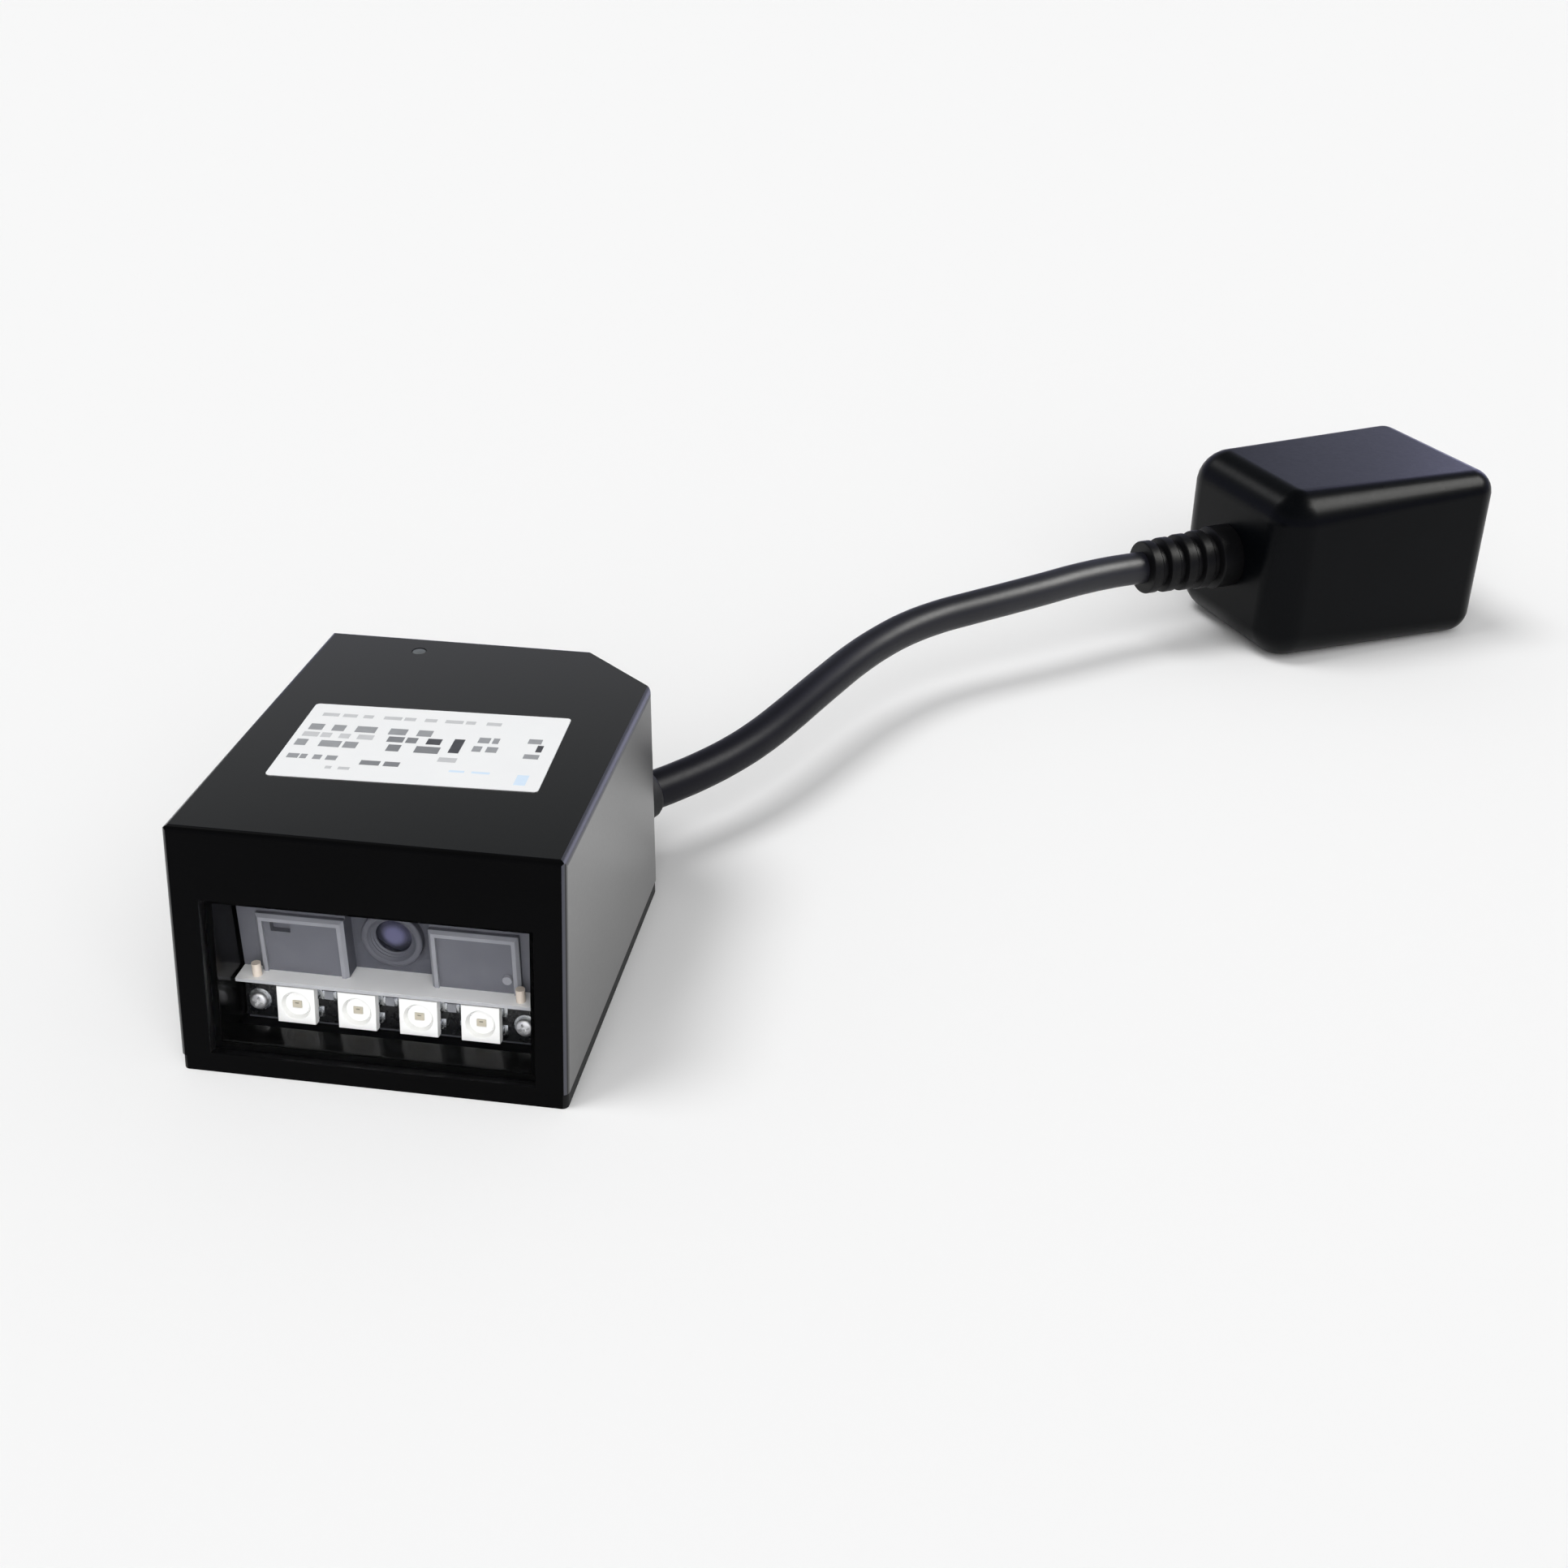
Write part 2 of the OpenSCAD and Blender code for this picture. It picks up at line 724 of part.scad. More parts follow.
// Front lens, domed towards the window
module lens_glass() {
    color("#5a5488", 0.6)
    translate([0, barrel_front + lens_seat + thread_fit, lens_z]) rotate([-90, 0, 0])
        intersection() {
            translate([0, 0, -1]) cylinder(h = lens_t + 1, r = lens_d / 2 - thread_fit);
            translate([0, 0, lens_dome_r]) rotate([90, 0, 0]) sphere(r = lens_dome_r);
        }
}

// Board behind the chassis that carries the line sensor
module sensor_board() {
    color("#1f5a3a")
    difference() {
        block([-engine_w / 2, engine_back, base_t + slip],
            [engine_w / 2, sensor_board_back, engine_back_top - slip]);
        for (side = [-1, 1])
            translate([side * engine_screw_x, sensor_board_back + 1, sensor_screw_z]) rotate([90, 0, 0])
                cylinder(h = board_t + 2, r = small_screw_r + close_fit);
    }
}

// Line image sensor
module line_sensor() {
    color("#26262a")
    block([-sensor_w / 2, engine_back - sensor_t, lens_z - sensor_h / 2],
        [sensor_w / 2, engine_back, lens_z + sensor_h / 2]);
}

// Two screws through the sensor board
module sensor_screws() {
    color("#9a9c9f")
    for (side = [-1, 1])
        translate([side * engine_screw_x, sensor_board_back, sensor_screw_z]) rotate([90, 0, 0])
            pan_screw(sensor_screw_l);
}

// Two countersunk screws that hold the engine to the base plate
module engine_screws() {
    color("#8d8f92")
    for (side = [-1, 1])
        translate([side * engine_screw_x, engine_screw_y, head_sink]) countersunk_screw(engine_screw_l);
}

// Board of the lamp row
module led_board() {
    color("#141516")
    on_led_board() translate([0, 0, -led_t - led_board_t])
        linear_extrude(led_board_t)
            difference() {
                square([led_board_w, led_board_h], center = true);
                for (side = [-1, 1])
                    translate([side * led_screw_x, -led_screw_drop]) circle(r = small_screw_r + close_fit);
            }
}

// Square lamp packages with round reflector cups
module led_lamps() {
    color("#f4f4f0")
    on_led_board()
    for (i = [0 : led_count - 1])
        translate([(i - (led_count - 1) / 2) * led_pitch, 0, -led_t])
            difference() {
                linear_extrude(led_t) square(led_size, center = true);
                translate([0, 0, led_t - led_cup_h])
                    cylinder(
                        h = led_cup_h + thread_fit,
                        r1 = led_cup_d / 2 - led_cup_draft,
                        r2 = led_cup_d / 2);
            }
}

// Chip resistors between the lamps
module led_resistors() {
    color("#9b9da0")
    on_led_board()
    for (i = [1 : led_count - 1])
        translate([(i - led_count / 2) * led_pitch - resistor.x / 2, resistor_up - resistor.y / 2, -led_t])
            cube(resistor);
}

// Two screws at the ends of the lamp board
module led_board_screws() {
    color("#c4c6c8")
    on_led_board()
    for (side = [-1, 1])
        translate([side * led_screw_x, -led_screw_drop, -led_t]) rotate([180, 0, 0])
            pan_screw(led_screw_l);
}

// Decoder board, screwed under the roof posts
module decoder_board() {
    color("#1f5a3a")
    difference() {
        intersection() {
            translate([0, 0, board_z]) linear_extrude(board_t)
                polygon(plan_points(board_inset, board_corner_r, board_corner_r));
            block([-board_half_w, board_front, 0], [board_half_w, far, body_h]);
        }
        for (x = [-post_x, post_x], y = [post_front_y, post_back_y])
            translate([x, y, 0]) cylinder(h = far, r = small_screw_r + close_fit);
    }
}

// Decoder processor on top of the board
module decoder_chip() {
    color("#1a1a1c")
    block([-chip_w / 2, -chip_w / 2, board_z + board_t],
        [chip_w / 2, chip_w / 2, board_z + board_t + chip_t]);
}

// Memory beside the processor
module memory_chip() {
    color("#1a1a1c")
    translate([0, chip_w / 2 + chip_gap, board_z + board_t])
        block([-memory_w / 2, 0, 0], [memory_w / 2, memory_d, chip_t]);
}

// Four screws through the decoder board into the posts
module board_screws() {
    color("#9a9c9f")
    for (x = [-post_x, post_x], y = [post_front_y, post_back_y])
        translate([x, y, board_z]) pan_screw(board_screw_l);
}

// Beeper under the decoder board
module beeper() {
    color("#18181a")
    translate([beeper_x, beeper_y, board_z - beeper_h])
        difference() {
            cylinder(h = beeper_h, r = beeper_d / 2);
            translate([0, 0, -1]) cylinder(h = 1 + beeper_hole_l, r = beeper_hole_r);
        }
}

// Status lamp on the decoder board
module status_led() {
    color("#dfe8d8")
    translate([status_place.x, status_place.y, board_z + board_t])
        translate([-status_led_size.x / 2, -status_led_size.y / 2, 0]) cube(status_led_size);
}

// Light pipe from the status lamp to the roof
module status_light_pipe() {
    color("#d8dcd8", 0.7)
    translate([status_place.x, status_place.y, 0]) {
        low = board_z + board_t + status_led_size.z;
        translate([0, 0, low]) cylinder(h = body_h - low, r = pipe_r);
        translate([0, 0, roof_z - pipe_flange_t]) cylinder(h = pipe_flange_t, r = pipe_flange_r);
    }
}

// Sockets of the flat cable, on the sensor board and under the decoder board
module flex_sockets() {
    color("#d9d5c8")
    union() {
        block([-flex_socket_w / 2, sensor_board_back, board_z - flex_drop - flex_socket_d],
            [flex_socket_w / 2, sensor_board_back + flex_socket_h, board_z - flex_drop]);
        block([-flex_socket_w / 2, sensor_board_back + flex_reach, board_z - flex_socket_h],
            [flex_socket_w / 2, sensor_board_back + flex_reach + flex_socket_d, board_z]);
    }
}

// Flat flexible cable, bent once between its sockets
module flex_cable() {
    color("#c9803a")
    translate([-flex_w / 2, sensor_board_back + flex_socket_h / 2, board_z - flex_socket_h / 2])
        rotate([90, 0, 90]) linear_extrude(flex_w) {
            drop = flex_drop - flex_socket_h / 2;
            reach = flex_reach - flex_socket_h / 2;
            translate([-flex_t / 2, -drop]) square([flex_t, drop - flex_bend_r]);
            translate([flex_bend_r, -flex_t / 2]) square([reach - flex_bend_r, flex_t]);
            intersection() {
                translate([flex_bend_r, -flex_bend_r]) difference() {
                    circle(r = flex_bend_r + flex_t / 2);
                    circle(r = flex_bend_r - flex_t / 2);
                }
                translate([-far, -flex_bend_r]) square([far + flex_bend_r, far]);
            }
        }
}

// Pin header of the cable, under the decoder board
module cable_header() {
    color("#e6e2d6")
    translate([header_x - header_size.x / 2, header_y - header_size.y / 2, board_z - header_size.z])
        cube(header_size);
}

// Plug of the cable wires, in line with the header
module header_plug() {
    color("#efece2")
    translate([header_x - plug_w / 2, header_y - plug_t / 2, board_z - header_size.z - plug_h])
        cube([plug_w, plug_t, plug_h]);
}

// A straight round wire between two points
module wire(a, b) {
    d = b - a;
    translate(a) rotate([0, acos(d.z / norm(d)), atan2(d.y, d.x)]) cylinder(h = norm(d), r = wire_r);
}

// Wires from the grommet to the plug
module cable_wires() {
    plug_z = board_z - header_size.z - plug_h;
    wall_in = wall_t + grommet_flange_t + wire_gap;
    start = [cut_mid.x, cut_mid.y] - wall_in * [cos(cut_a), sin(cut_a)];
    across = [-sin(cut_a), cos(cut_a)];
    color("#7a3b3b")
    for (i = [0 : wire_count - 1]) {
        step = (i - (wire_count - 1) / 2);
        place = start + across * step * wire_pitch * -1;
        wire([place.x, place.y, cable_z], [header_x + step * wire_pitch, header_y, plug_z - wire_gap]);
    }
}

// Grommet moulded on the cable, held in the corner wall
module cable_grommet() {
    color("#1c1c1e")
    on_corner_cut() {
        rotate_extrude()
            polygon([
                [0, -wall_t - grommet_flange_t], [grommet_flange_r, -wall_t - grommet_flange_t],
                [grommet_flange_r, -wall_t], [grommet_neck_r, -wall_t], [grommet_neck_r, 0],
                [grommet_flange_r, 0], [grommet_flange_r - grommet_draft, grommet_flange_t],
                [cable_d / 2 + grommet_lip + grommet_round, grommet_nose_l - grommet_round],
                [cable_d / 2 + grommet_lip, grommet_nose_l],
                [0, grommet_nose_l]]);
    }
}

// Blank type label on the roof
module type_label() {
    color("#f2f3f4")
    translate([label_x, label_y, body_h]) rotate([0, 0, label_turn]) linear_extrude(label_t)
        polygon(rounded(
            [[-label_w / 2, -label_d / 2], [label_w / 2, -label_d / 2],
             [label_w / 2, label_d / 2], [-label_w / 2, label_d / 2]],
            [for (i = [0 : 3]) label_r]));
}

// A tube swept along a route, one ring at each point
module swept_tube(route, r, sides) {
    last = len(route) - 1;
    rings = [for (i = [0 : last])
        let (
            along = unit(route[min(i + 1, last)] - route[max(i - 1, 0)]),
            side = unit(cross(along, [0, 0, 1])),
            up = cross(side, along))
        [for (k = [0 : sides - 1])
            route[i] + r * (cos(360 * k / sides) * side + sin(360 * k / sides) * up)]];
    faces = [for (i = [0 : last - 1], k = [0 : sides - 1])
        let (next = (k + 1) % sides)
        [i * sides + k, (i + 1) * sides + k, (i + 1) * sides + next, i * sides + next]];
    polyhedron(
        points = [for (ring = rings) each ring],
        faces = concat(
            faces,
            [[for (k = [0 : sides - 1]) k]],
            [[for (k = [sides - 1 : -1 : 0]) last * sides + k]]),
        convexity = 6);
}

// Free cable between the grommet and the strain relief
module cable() {
    color("#232326")
    swept_tube(cable_route, cable_d / 2, cable_sides);
}

// Ribbed strain relief with a spigot in the hood
module strain_relief() {
    pitch = (relief_l - relief_collar) / relief_ribs;
    function relief_r(x) = relief_tip_d / 2 + (relief_d - relief_tip_d) / 2 * x / relief_l;
    ribs = [for (i = [0 : relief_ribs - 1])
        let (x = i * pitch)
        each [
            [relief_r(x), x], [relief_r(x), x + pitch * rib_share],
            [relief_r(x) - relief_groove, x + pitch * slope_share],
            [relief_r(x) - relief_groove, x + pitch * floor_share]]];
    color("#151517")
    on_hood() translate([-relief_l, 0, 0]) rotate([0, 90, 0])
        rotate_extrude()
            polygon(concat(
                [[0, 0]], ribs,
                [[relief_d / 2, relief_l - relief_collar], [relief_d / 2, relief_l],
                 [relief_spigot_r, relief_l], [relief_spigot_r, relief_l + relief_spigot_l],
                 [0, relief_l + relief_spigot_l]]));
}

// The smooth outer form of the hood
module hood_form() {
    hull()
    for (end = [[hood_cable_r, hood_cable_r], [hood_l - hood_socket_r, hood_socket_r]],
            y = [-1, 1], z = [-1, 1])
        translate([end[0], y * (hood_w / 2 - end[1]), z * (hood_h / 2 - end[1])])
            sphere(r = end[1], $fn = 32);
}

// Moulded connector hood
module connector_hood() {
    color("#1d1e20")
    difference() {
        on_hood() hood_form();
        on_hood() rotate([0, 90, 0]) translate([0, 0, -1])
            cylinder(h = relief_spigot_l + 1, r = relief_spigot_r + thread_fit);
        on_socket() {
            linear_extrude(far) polygon(d_points(-skirt_gap));
            translate([0, 0, -flange_t - close_fit]) linear_extrude(flange_t + close_fit)
                square([flange_w + 2 * close_fit, flange_h + 2 * close_fit], center = true);
            translate([0, 0, -pocket_l]) linear_extrude(pocket_l) square([pocket_w, pocket_h], center = true);
            for (side = [-1, 1])
                translate([side * jack_spacing / 2, 0, 0]) {
                    translate([0, 0, -jack_stem_l - 1])
                        cylinder(h = far, r = jack_stem_r + thread_fit);
                    cylinder(h = far, r = jack_flats / 2 / cos(30) + close_fit, $fn = 6);
                }
        }
    }
}

// Pressed metal shell of the socket: flange and D-shaped skirt
module socket_shell() {
    color("#b9bbbd")
    on_socket()
    difference() {
        union() {
            translate([0, 0, -flange_t]) linear_extrude(flange_t) square([flange_w, flange_h], center = true);
            linear_extrude(skirt_l) polygon(d_points(0));
        }
        translate([0, 0, -1]) linear_extrude(far) polygon(d_points(skirt_t));
        for (side = [-1, 1])
            translate([side * jack_spacing / 2, 0, -1]) cylinder(h = 2, r = jack_stem_r + close_fit);
    }
}

// Moulded insulator of the socket
module socket_insulator() {
    color("#17181a")
    on_socket()
    difference() {
        union() {
            translate([0, 0, -insulator_back]) linear_extrude(insulator_back + skirt_l - insulator_sink)
                polygon(d_points(skirt_t + thread_fit));
            translate([0, 0, -insulator_back]) linear_extrude(insulator_back - flange_t)
                square([pocket_w - 2 * close_fit, pocket_h - 2 * close_fit], center = true);
        }
        for (p = contact_places())
            translate([p.x, p.y, -far / 2]) cylinder(h = far, r = contact_r + thread_fit);
    }
}

// Nine contact sleeves with solder tails
module socket_contacts() {
    color("#d2ab4c")
    on_socket()
    for (p = contact_places())
        translate([p.x, p.y, -contact_back])
            difference() {
                cylinder(h = contact_back + skirt_l - insulator_sink - contact_sink, r = contact_r);
                translate([0, 0, contact_back]) cylinder(h = far, r = contact_bore_r);
            }
}

// Two hexagonal nuts that take the screws of the mating plug
module jack_nuts() {
    color("#c0c2c4")
    on_socket()
    for (side = [-1, 1])
        translate([side * jack_spacing / 2, 0, 0])
            difference() {
                union() {
                    cylinder(h = jack_l, r = jack_flats / 2 / cos(30), $fn = 6);
                    translate([0, 0, -jack_stem_l]) cylinder(h = jack_stem_l + 1, r = jack_stem_r);
                }
                translate([0, 0, jack_l - jack_thread_l]) cylinder(h = far, r = jack_bore_d / 2);
            }
}

housing();
base_plate();
cover_screws();
mount_inserts();
window_pane();
window_seal();
engine_chassis();
lens_barrel();
lens_glass();
sensor_board();
line_sensor();
sensor_screws();
engine_screws();
led_board();
led_lamps();
led_resistors();
led_board_screws();
decoder_board();
decoder_chip();
memory_chip();
board_screws();
beeper();
status_led();
status_light_pipe();
flex_sockets();
flex_cable();
cable_header();
header_plug();
cable_wires();
cable_grommet();
type_label();
cable();
strain_relief();
connector_hood();
socket_shell();
socket_insulator();
socket_contacts();
jack_nuts();
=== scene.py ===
import math

import bmesh
import bpy
from mathutils import Matrix, Vector


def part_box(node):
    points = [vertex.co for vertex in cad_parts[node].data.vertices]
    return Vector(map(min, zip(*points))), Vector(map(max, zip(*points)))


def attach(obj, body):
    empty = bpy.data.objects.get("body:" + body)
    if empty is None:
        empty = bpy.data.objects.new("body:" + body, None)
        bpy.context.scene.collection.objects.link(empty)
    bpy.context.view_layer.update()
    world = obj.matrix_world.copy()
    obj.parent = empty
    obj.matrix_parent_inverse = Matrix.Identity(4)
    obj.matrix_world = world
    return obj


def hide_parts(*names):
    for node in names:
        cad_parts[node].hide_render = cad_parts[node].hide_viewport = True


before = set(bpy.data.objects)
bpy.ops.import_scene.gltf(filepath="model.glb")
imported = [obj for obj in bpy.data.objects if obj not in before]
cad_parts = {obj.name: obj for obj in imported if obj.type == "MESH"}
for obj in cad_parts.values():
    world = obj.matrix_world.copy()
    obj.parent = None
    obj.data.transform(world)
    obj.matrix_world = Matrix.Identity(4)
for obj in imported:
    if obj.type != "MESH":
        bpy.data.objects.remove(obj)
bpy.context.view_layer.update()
mm = 0.001
print("frame loaded,", len(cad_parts), "nodes")


# camera, found from the reader's corners in the photograph
cameraLook = {
    "place": (0.0772, -0.2040, 0.1460),
    "turn": 8.54,      # degrees to the left of straight ahead
    "tilt": 29.19,     # degrees downwards
    "roll": 0.61,
    "lens": 42.67,     # mm on a square sensor
    "sensor": 36,
    "nearest": 0.01,
}


def aimCamera(look):
    turn, tilt, roll = (math.radians(look[name]) for name in ("turn", "tilt", "roll"))
    back = Vector((math.sin(turn) * math.cos(tilt), -math.cos(turn) * math.cos(tilt), math.sin(tilt)))
    right = Vector((0, 0, 1)).cross(back).normalized()
    up = back.cross(right)
    sideways = math.cos(roll) * right + math.sin(roll) * up
    upwards = math.cos(roll) * up - math.sin(roll) * right
    data = bpy.data.cameras.new("camera")
    data.sensor_width = look["sensor"]
    data.lens = look["lens"]
    data.clip_start = look["nearest"]
    cam = bpy.data.objects.new("camera", data)
    turned = Matrix((sideways, upwards, back)).transposed().to_4x4()
    cam.matrix_world = Matrix.Translation(look["place"]) @ turned
    bpy.context.scene.collection.objects.link(cam)
    bpy.context.scene.camera = cam


aimCamera(cameraLook)
print("camera set")


# small helpers for colours and nodes
def linear(code):
    parts = [int(code[i:i + 2], 16) / 255 for i in (1, 3, 5)]
    return tuple(c / 12.92 if c <= 0.04045 else ((c + 0.055) / 1.055) ** 2.4 for c in parts) + (1.0,)


def addNode(tree, kind, inputs=None, **settings):
    node = tree.nodes.new(kind)
    for name, value in settings.items():
        setattr(node, name, value)
    for name, value in (inputs or {}).items():
        if isinstance(value, bpy.types.NodeSocket):
            tree.links.new(value, node.inputs[name])
        else:
            node.inputs[name].default_value = value
    return node


def startMaterial(name, **values):
    mat = bpy.data.materials.new(name)
    mat.use_nodes = True
    tree = mat.node_tree
    tree.nodes.clear()
    inputs = {key.replace("_", " "): value for key, value in values.items()}
    shader = addNode(tree, "ShaderNodeBsdfPrincipled", inputs)
    addNode(tree, "ShaderNodeOutputMaterial", {"Surface": shader.outputs["BSDF"]})
    place = addNode(tree, "ShaderNodeTexCoord").outputs["Object"]
    return mat, tree, shader, place


def per(size):
    return 1 / (size * mm)     # pattern scale for a feature of that many millimetres


# two tones that wander into each other, an uneven gloss and a fine relief
def weather(tree, shader, tint, tones, pits, roughness, spread, depth):
    tone = addNode(tree, "ShaderNodeMix", {"Factor": tint, "A": linear(tones[0]), "B": linear(tones[1])},
                   data_type="RGBA")
    tree.links.new(tone.outputs["Result"], shader.inputs["Base Color"])
    gloss = addNode(tree, "ShaderNodeMapRange", {"Value": pits, "To Min": roughness - spread,
                                                 "To Max": roughness + spread})
    tree.links.new(gloss.outputs["Result"], shader.inputs["Roughness"])
    bump = addNode(tree, "ShaderNodeBump", {"Height": pits, "Strength": 1.0, "Distance": depth * mm})
    tree.links.new(bump.outputs["Normal"], shader.inputs["Normal"])


# moulded plastic: faint flow clouds in the colour, uneven gloss and a fine grain from the mould's wall
def mouldedPlastic(name, tones, roughness, spread, grain, depth, specular=0.5, cloudSize=9.0, coat=0.0):
    mat, tree, shader, place = startMaterial(name, Specular_IOR_Level=specular, Coat_Weight=coat,
                                             Coat_Roughness=roughness)
    clouds = addNode(tree, "ShaderNodeTexNoise", {"Vector": place, "Scale": per(cloudSize), "Detail": 3.0})
    pits = addNode(tree, "ShaderNodeTexNoise", {"Vector": place, "Scale": per(grain), "Detail": 2.0})
    weather(tree, shader, clouds.outputs["Fac"], tones, pits.outputs["Fac"], roughness, spread, depth)
    return mat


# metal: the tone wanders a little, and fine marks of tool or plating scatter the shine
def wroughtMetal(name, tones, roughness, spread, mark, depth):
    mat, tree, shader, place = startMaterial(name, Metallic=1.0)
    marks = addNode(tree, "ShaderNodeTexNoise", {"Vector": place, "Scale": per(mark), "Detail": 4.0})
    weather(tree, shader, marks.outputs["Fac"], tones, marks.outputs["Fac"], roughness, spread, depth)
    return mat


# clear plastic or resin: lets lamps through to what lies behind it, and carries a faint haze of handling
def clearSheet(name, color, ior, roughness, haze):
    mat, tree, shader, place = startMaterial(name, Base_Color=linear(color), IOR=ior, Transmission_Weight=1.0)
    # smears of about 6 mm
    smear = addNode(tree, "ShaderNodeTexNoise", {"Vector": place, "Scale": per(6), "Detail": 3.0})
    gloss = addNode(tree, "ShaderNodeMapRange", {
        "Value": smear.outputs["Fac"], "From Min": 0.35, "From Max": 0.75, "To Min": roughness,
        "To Max": roughness + haze})
    tree.links.new(gloss.outputs["Result"], shader.inputs["Roughness"])
    ray = addNode(tree, "ShaderNodeLightPath")
    through = addNode(tree, "ShaderNodeBsdfTransparent", {"Color": linear(color)})
    both = addNode(tree, "ShaderNodeMixShader", {
        0: ray.outputs["Is Shadow Ray"], 1: shader.outputs["BSDF"], 2: through.outputs["BSDF"]})
    output = next(n for n in tree.nodes if n.type == "OUTPUT_MATERIAL")
    tree.links.new(both.outputs["Shader"], output.inputs["Surface"])
    return mat


# coated optical glass: a violet glint painted into the colour in the middle as the coating's reflection, dark
# towards the rim
def coatedGlass(axis, glintRadius):
    mat, tree, shader, place = startMaterial(
        "coated optical glass", IOR=1.6, Roughness=0.08, Coat_Weight=0.3, Coat_Roughness=0.05,
        Specular_Tint=linear("#8f86e0"), Specular_IOR_Level=0.3)
    aside = addNode(tree, "ShaderNodeVectorMath", {0: place, 1: axis}, operation="SUBTRACT")
    flat = addNode(tree, "ShaderNodeVectorMath", {0: aside.outputs["Vector"], 1: (1, 0, 1)},
                   operation="MULTIPLY")
    reach = addNode(tree, "ShaderNodeVectorMath", {0: flat.outputs["Vector"]}, operation="LENGTH")
    fade = addNode(tree, "ShaderNodeMapRange", {
        "Value": reach.outputs["Value"], "From Min": glintRadius * mm * 0.4, "From Max": glintRadius * mm},
        interpolation_type="SMOOTHSTEP")
    tone = addNode(tree, "ShaderNodeMix", {
        "Factor": fade.outputs["Result"], "A": linear("#5b5b74"), "B": linear("#2c2d35")}, data_type="RGBA")
    tree.links.new(tone.outputs["Result"], shader.inputs["Base Color"])
    return mat


# plastics: name, two tones, roughness and its spread, grain and its depth in mm, then shine, cloud size in mm
# and coat where they aren't the usual ones
absBlack = ("#060607", "#0a0a0b")
# black ABS from a finely eroded mould: a satin that turns pale where it is seen at a low angle
housingAbs = mouldedPlastic("black ABS, satin", absBlack, 0.17, 0.03, 0.45, 0.002, coat=0.3)
# the walls are rougher, so what they mirror runs together into one soft grey
wallAbs = mouldedPlastic("black ABS, walls", absBlack, 0.32, 0.03, 0.45, 0.002)
# painted sheen: the right wall gets more shine and coat than the other walls, so it shows the floor more
# strongly
sheenWallAbs = mouldedPlastic("black ABS, wall with painted sheen", absBlack, 0.32, 0.03, 0.45, 0.002, 0.7, coat=0.85)
# roof's right edge: painted highlight, a cool grey-blue base colour that stands for a reflection, and
# rougher, so it shows as a soft cool line
edgeHighlightAbs = mouldedPlastic("black ABS, painted edge highlight", ("#272834", "#2f303c"), 0.48, 0.05, 0.45, 0.002, 0.7,
                         coat=0.6)
# the same ABS where the mould was blasted: nearly no shine, so it reads as flat black
frontAbs = mouldedPlastic("black ABS, matt front", ("#040404", "#060607"), 0.5, 0.05, 0.45, 0.004, 0.04)
# the same ABS from a polished core: wet-looking black that mirrors the lamps
tunnelAbs = mouldedPlastic("black ABS, polished", ("#020202", "#030303"), 0.16, 0.03, 1.2, 0.002, 0.15)
# the plate is duller than the housing, so it shows as a dark strip under it
baseAbs = mouldedPlastic("black ABS, base plate", ("#070708", "#0b0b0c"), 0.5, 0.05, 0.5, 0.006, 0.2)
# glass-filled nylon of the chassis: mid grey, dry, with a faint fibre mottle
chassisPlastic = mouldedPlastic("grey filled nylon", ("#595a60", "#66676d"), 0.5, 0.08, 0.5, 0.006, 0.3, 3.0)
# borders of the panels: painted highlight, a lighter grey than the fields inside them
rimHighlight = mouldedPlastic("grey filled nylon, painted border highlight", ("#838489", "#8f9095"), 0.42, 0.06, 0.5, 0.004, 0.4,
                            cloudSize=3.0)
# edge of the shelf: painted highlight, a pale line above the lamps
shelfEdgeHighlight = mouldedPlastic("grey filled nylon, painted shelf-edge highlight", ("#a9aaac", "#b5b6b8"), 0.45, 0.06, 0.5, 0.004, 0.4, 3.0)
# top of the shelf: painted highlight, white where the light falls from above; it throws light back up at the
# panels
shelfTopHighlight = mouldedPlastic("grey filled nylon, painted shelf-top highlight", ("#f6f6f5", "#fbfbfa"), 0.45, 0.06, 0.5, 0.004, 0.4, 3.0)
# recess round the lens: painted shade, a darker grey than the chassis, matt
recessShade = mouldedPlastic("grey filled nylon, painted recess shade", ("#505157", "#585960"), 0.8, 0.06, 0.3, 0.02, 0.15, 2.0)
# pins on the shelf: two small warm spots among the greys
pinBeige = mouldedPlastic("beige acetal", ("#cfc3b4", "#dacfc2"), 0.4, 0.05, 0.4, 0.003, 0.4, 1.5)
# lens barrel: a dull dark ring that sets off the glass
barrelGrey = mouldedPlastic("dark grey acetal", ("#4d4e55", "#56575e"), 0.45, 0.06, 0.4, 0.004, 0.4, 3.0)
# hood: dense black with soft streaks of light along its roundings
hoodPvc = mouldedPlastic("black PVC, overmoulded", ("#030405", "#06070a"), 0.3, 0.05, 0.9, 0.005, 0.08)
# strain relief: softer and duller than the hood, so its ribs show by their shadows
reliefPvc = mouldedPlastic("black PVC, soft", ("#070708", "#0b0b0c"), 0.42, 0.06, 0.5, 0.006, 0.16)
# cable jacket: bluish black with one broad, soft shine along it
cablePvc = mouldedPlastic("black PVC, extruded", ("#111117", "#17171d"), 0.42, 0.06, 0.7, 0.006, 0.5, 5.0)
# grommet: flat black rubber with hardly any shine
grommetRubber = mouldedPlastic("black rubber", ("#0e0e10", "#141416"), 0.6, 0.08, 0.5, 0.008, 0.3)
# socket block: charcoal with a slight gloss, behind the gold of the contacts
insulatorPbt = mouldedPlastic("black PBT", ("#141518", "#1a1b1f"), 0.42, 0.06, 0.4, 0.004, 0.4)
# small sockets and plugs: milky cream
nylonWhite = mouldedPlastic("natural nylon", ("#ddd8c8", "#e6e2d4"), 0.45, 0.06, 0.5, 0.004)
# chip bodies: dry charcoal
chipEpoxy = mouldedPlastic("black moulding epoxy", ("#161618", "#1e1e21"), 0.6, 0.08, 0.3, 0.004)
# tape round the pane: black that takes no light
sealFoam = mouldedPlastic("black foam tape", ("#040404", "#060606"), 0.85, 0.08, 0.4, 0.03, 0.05)
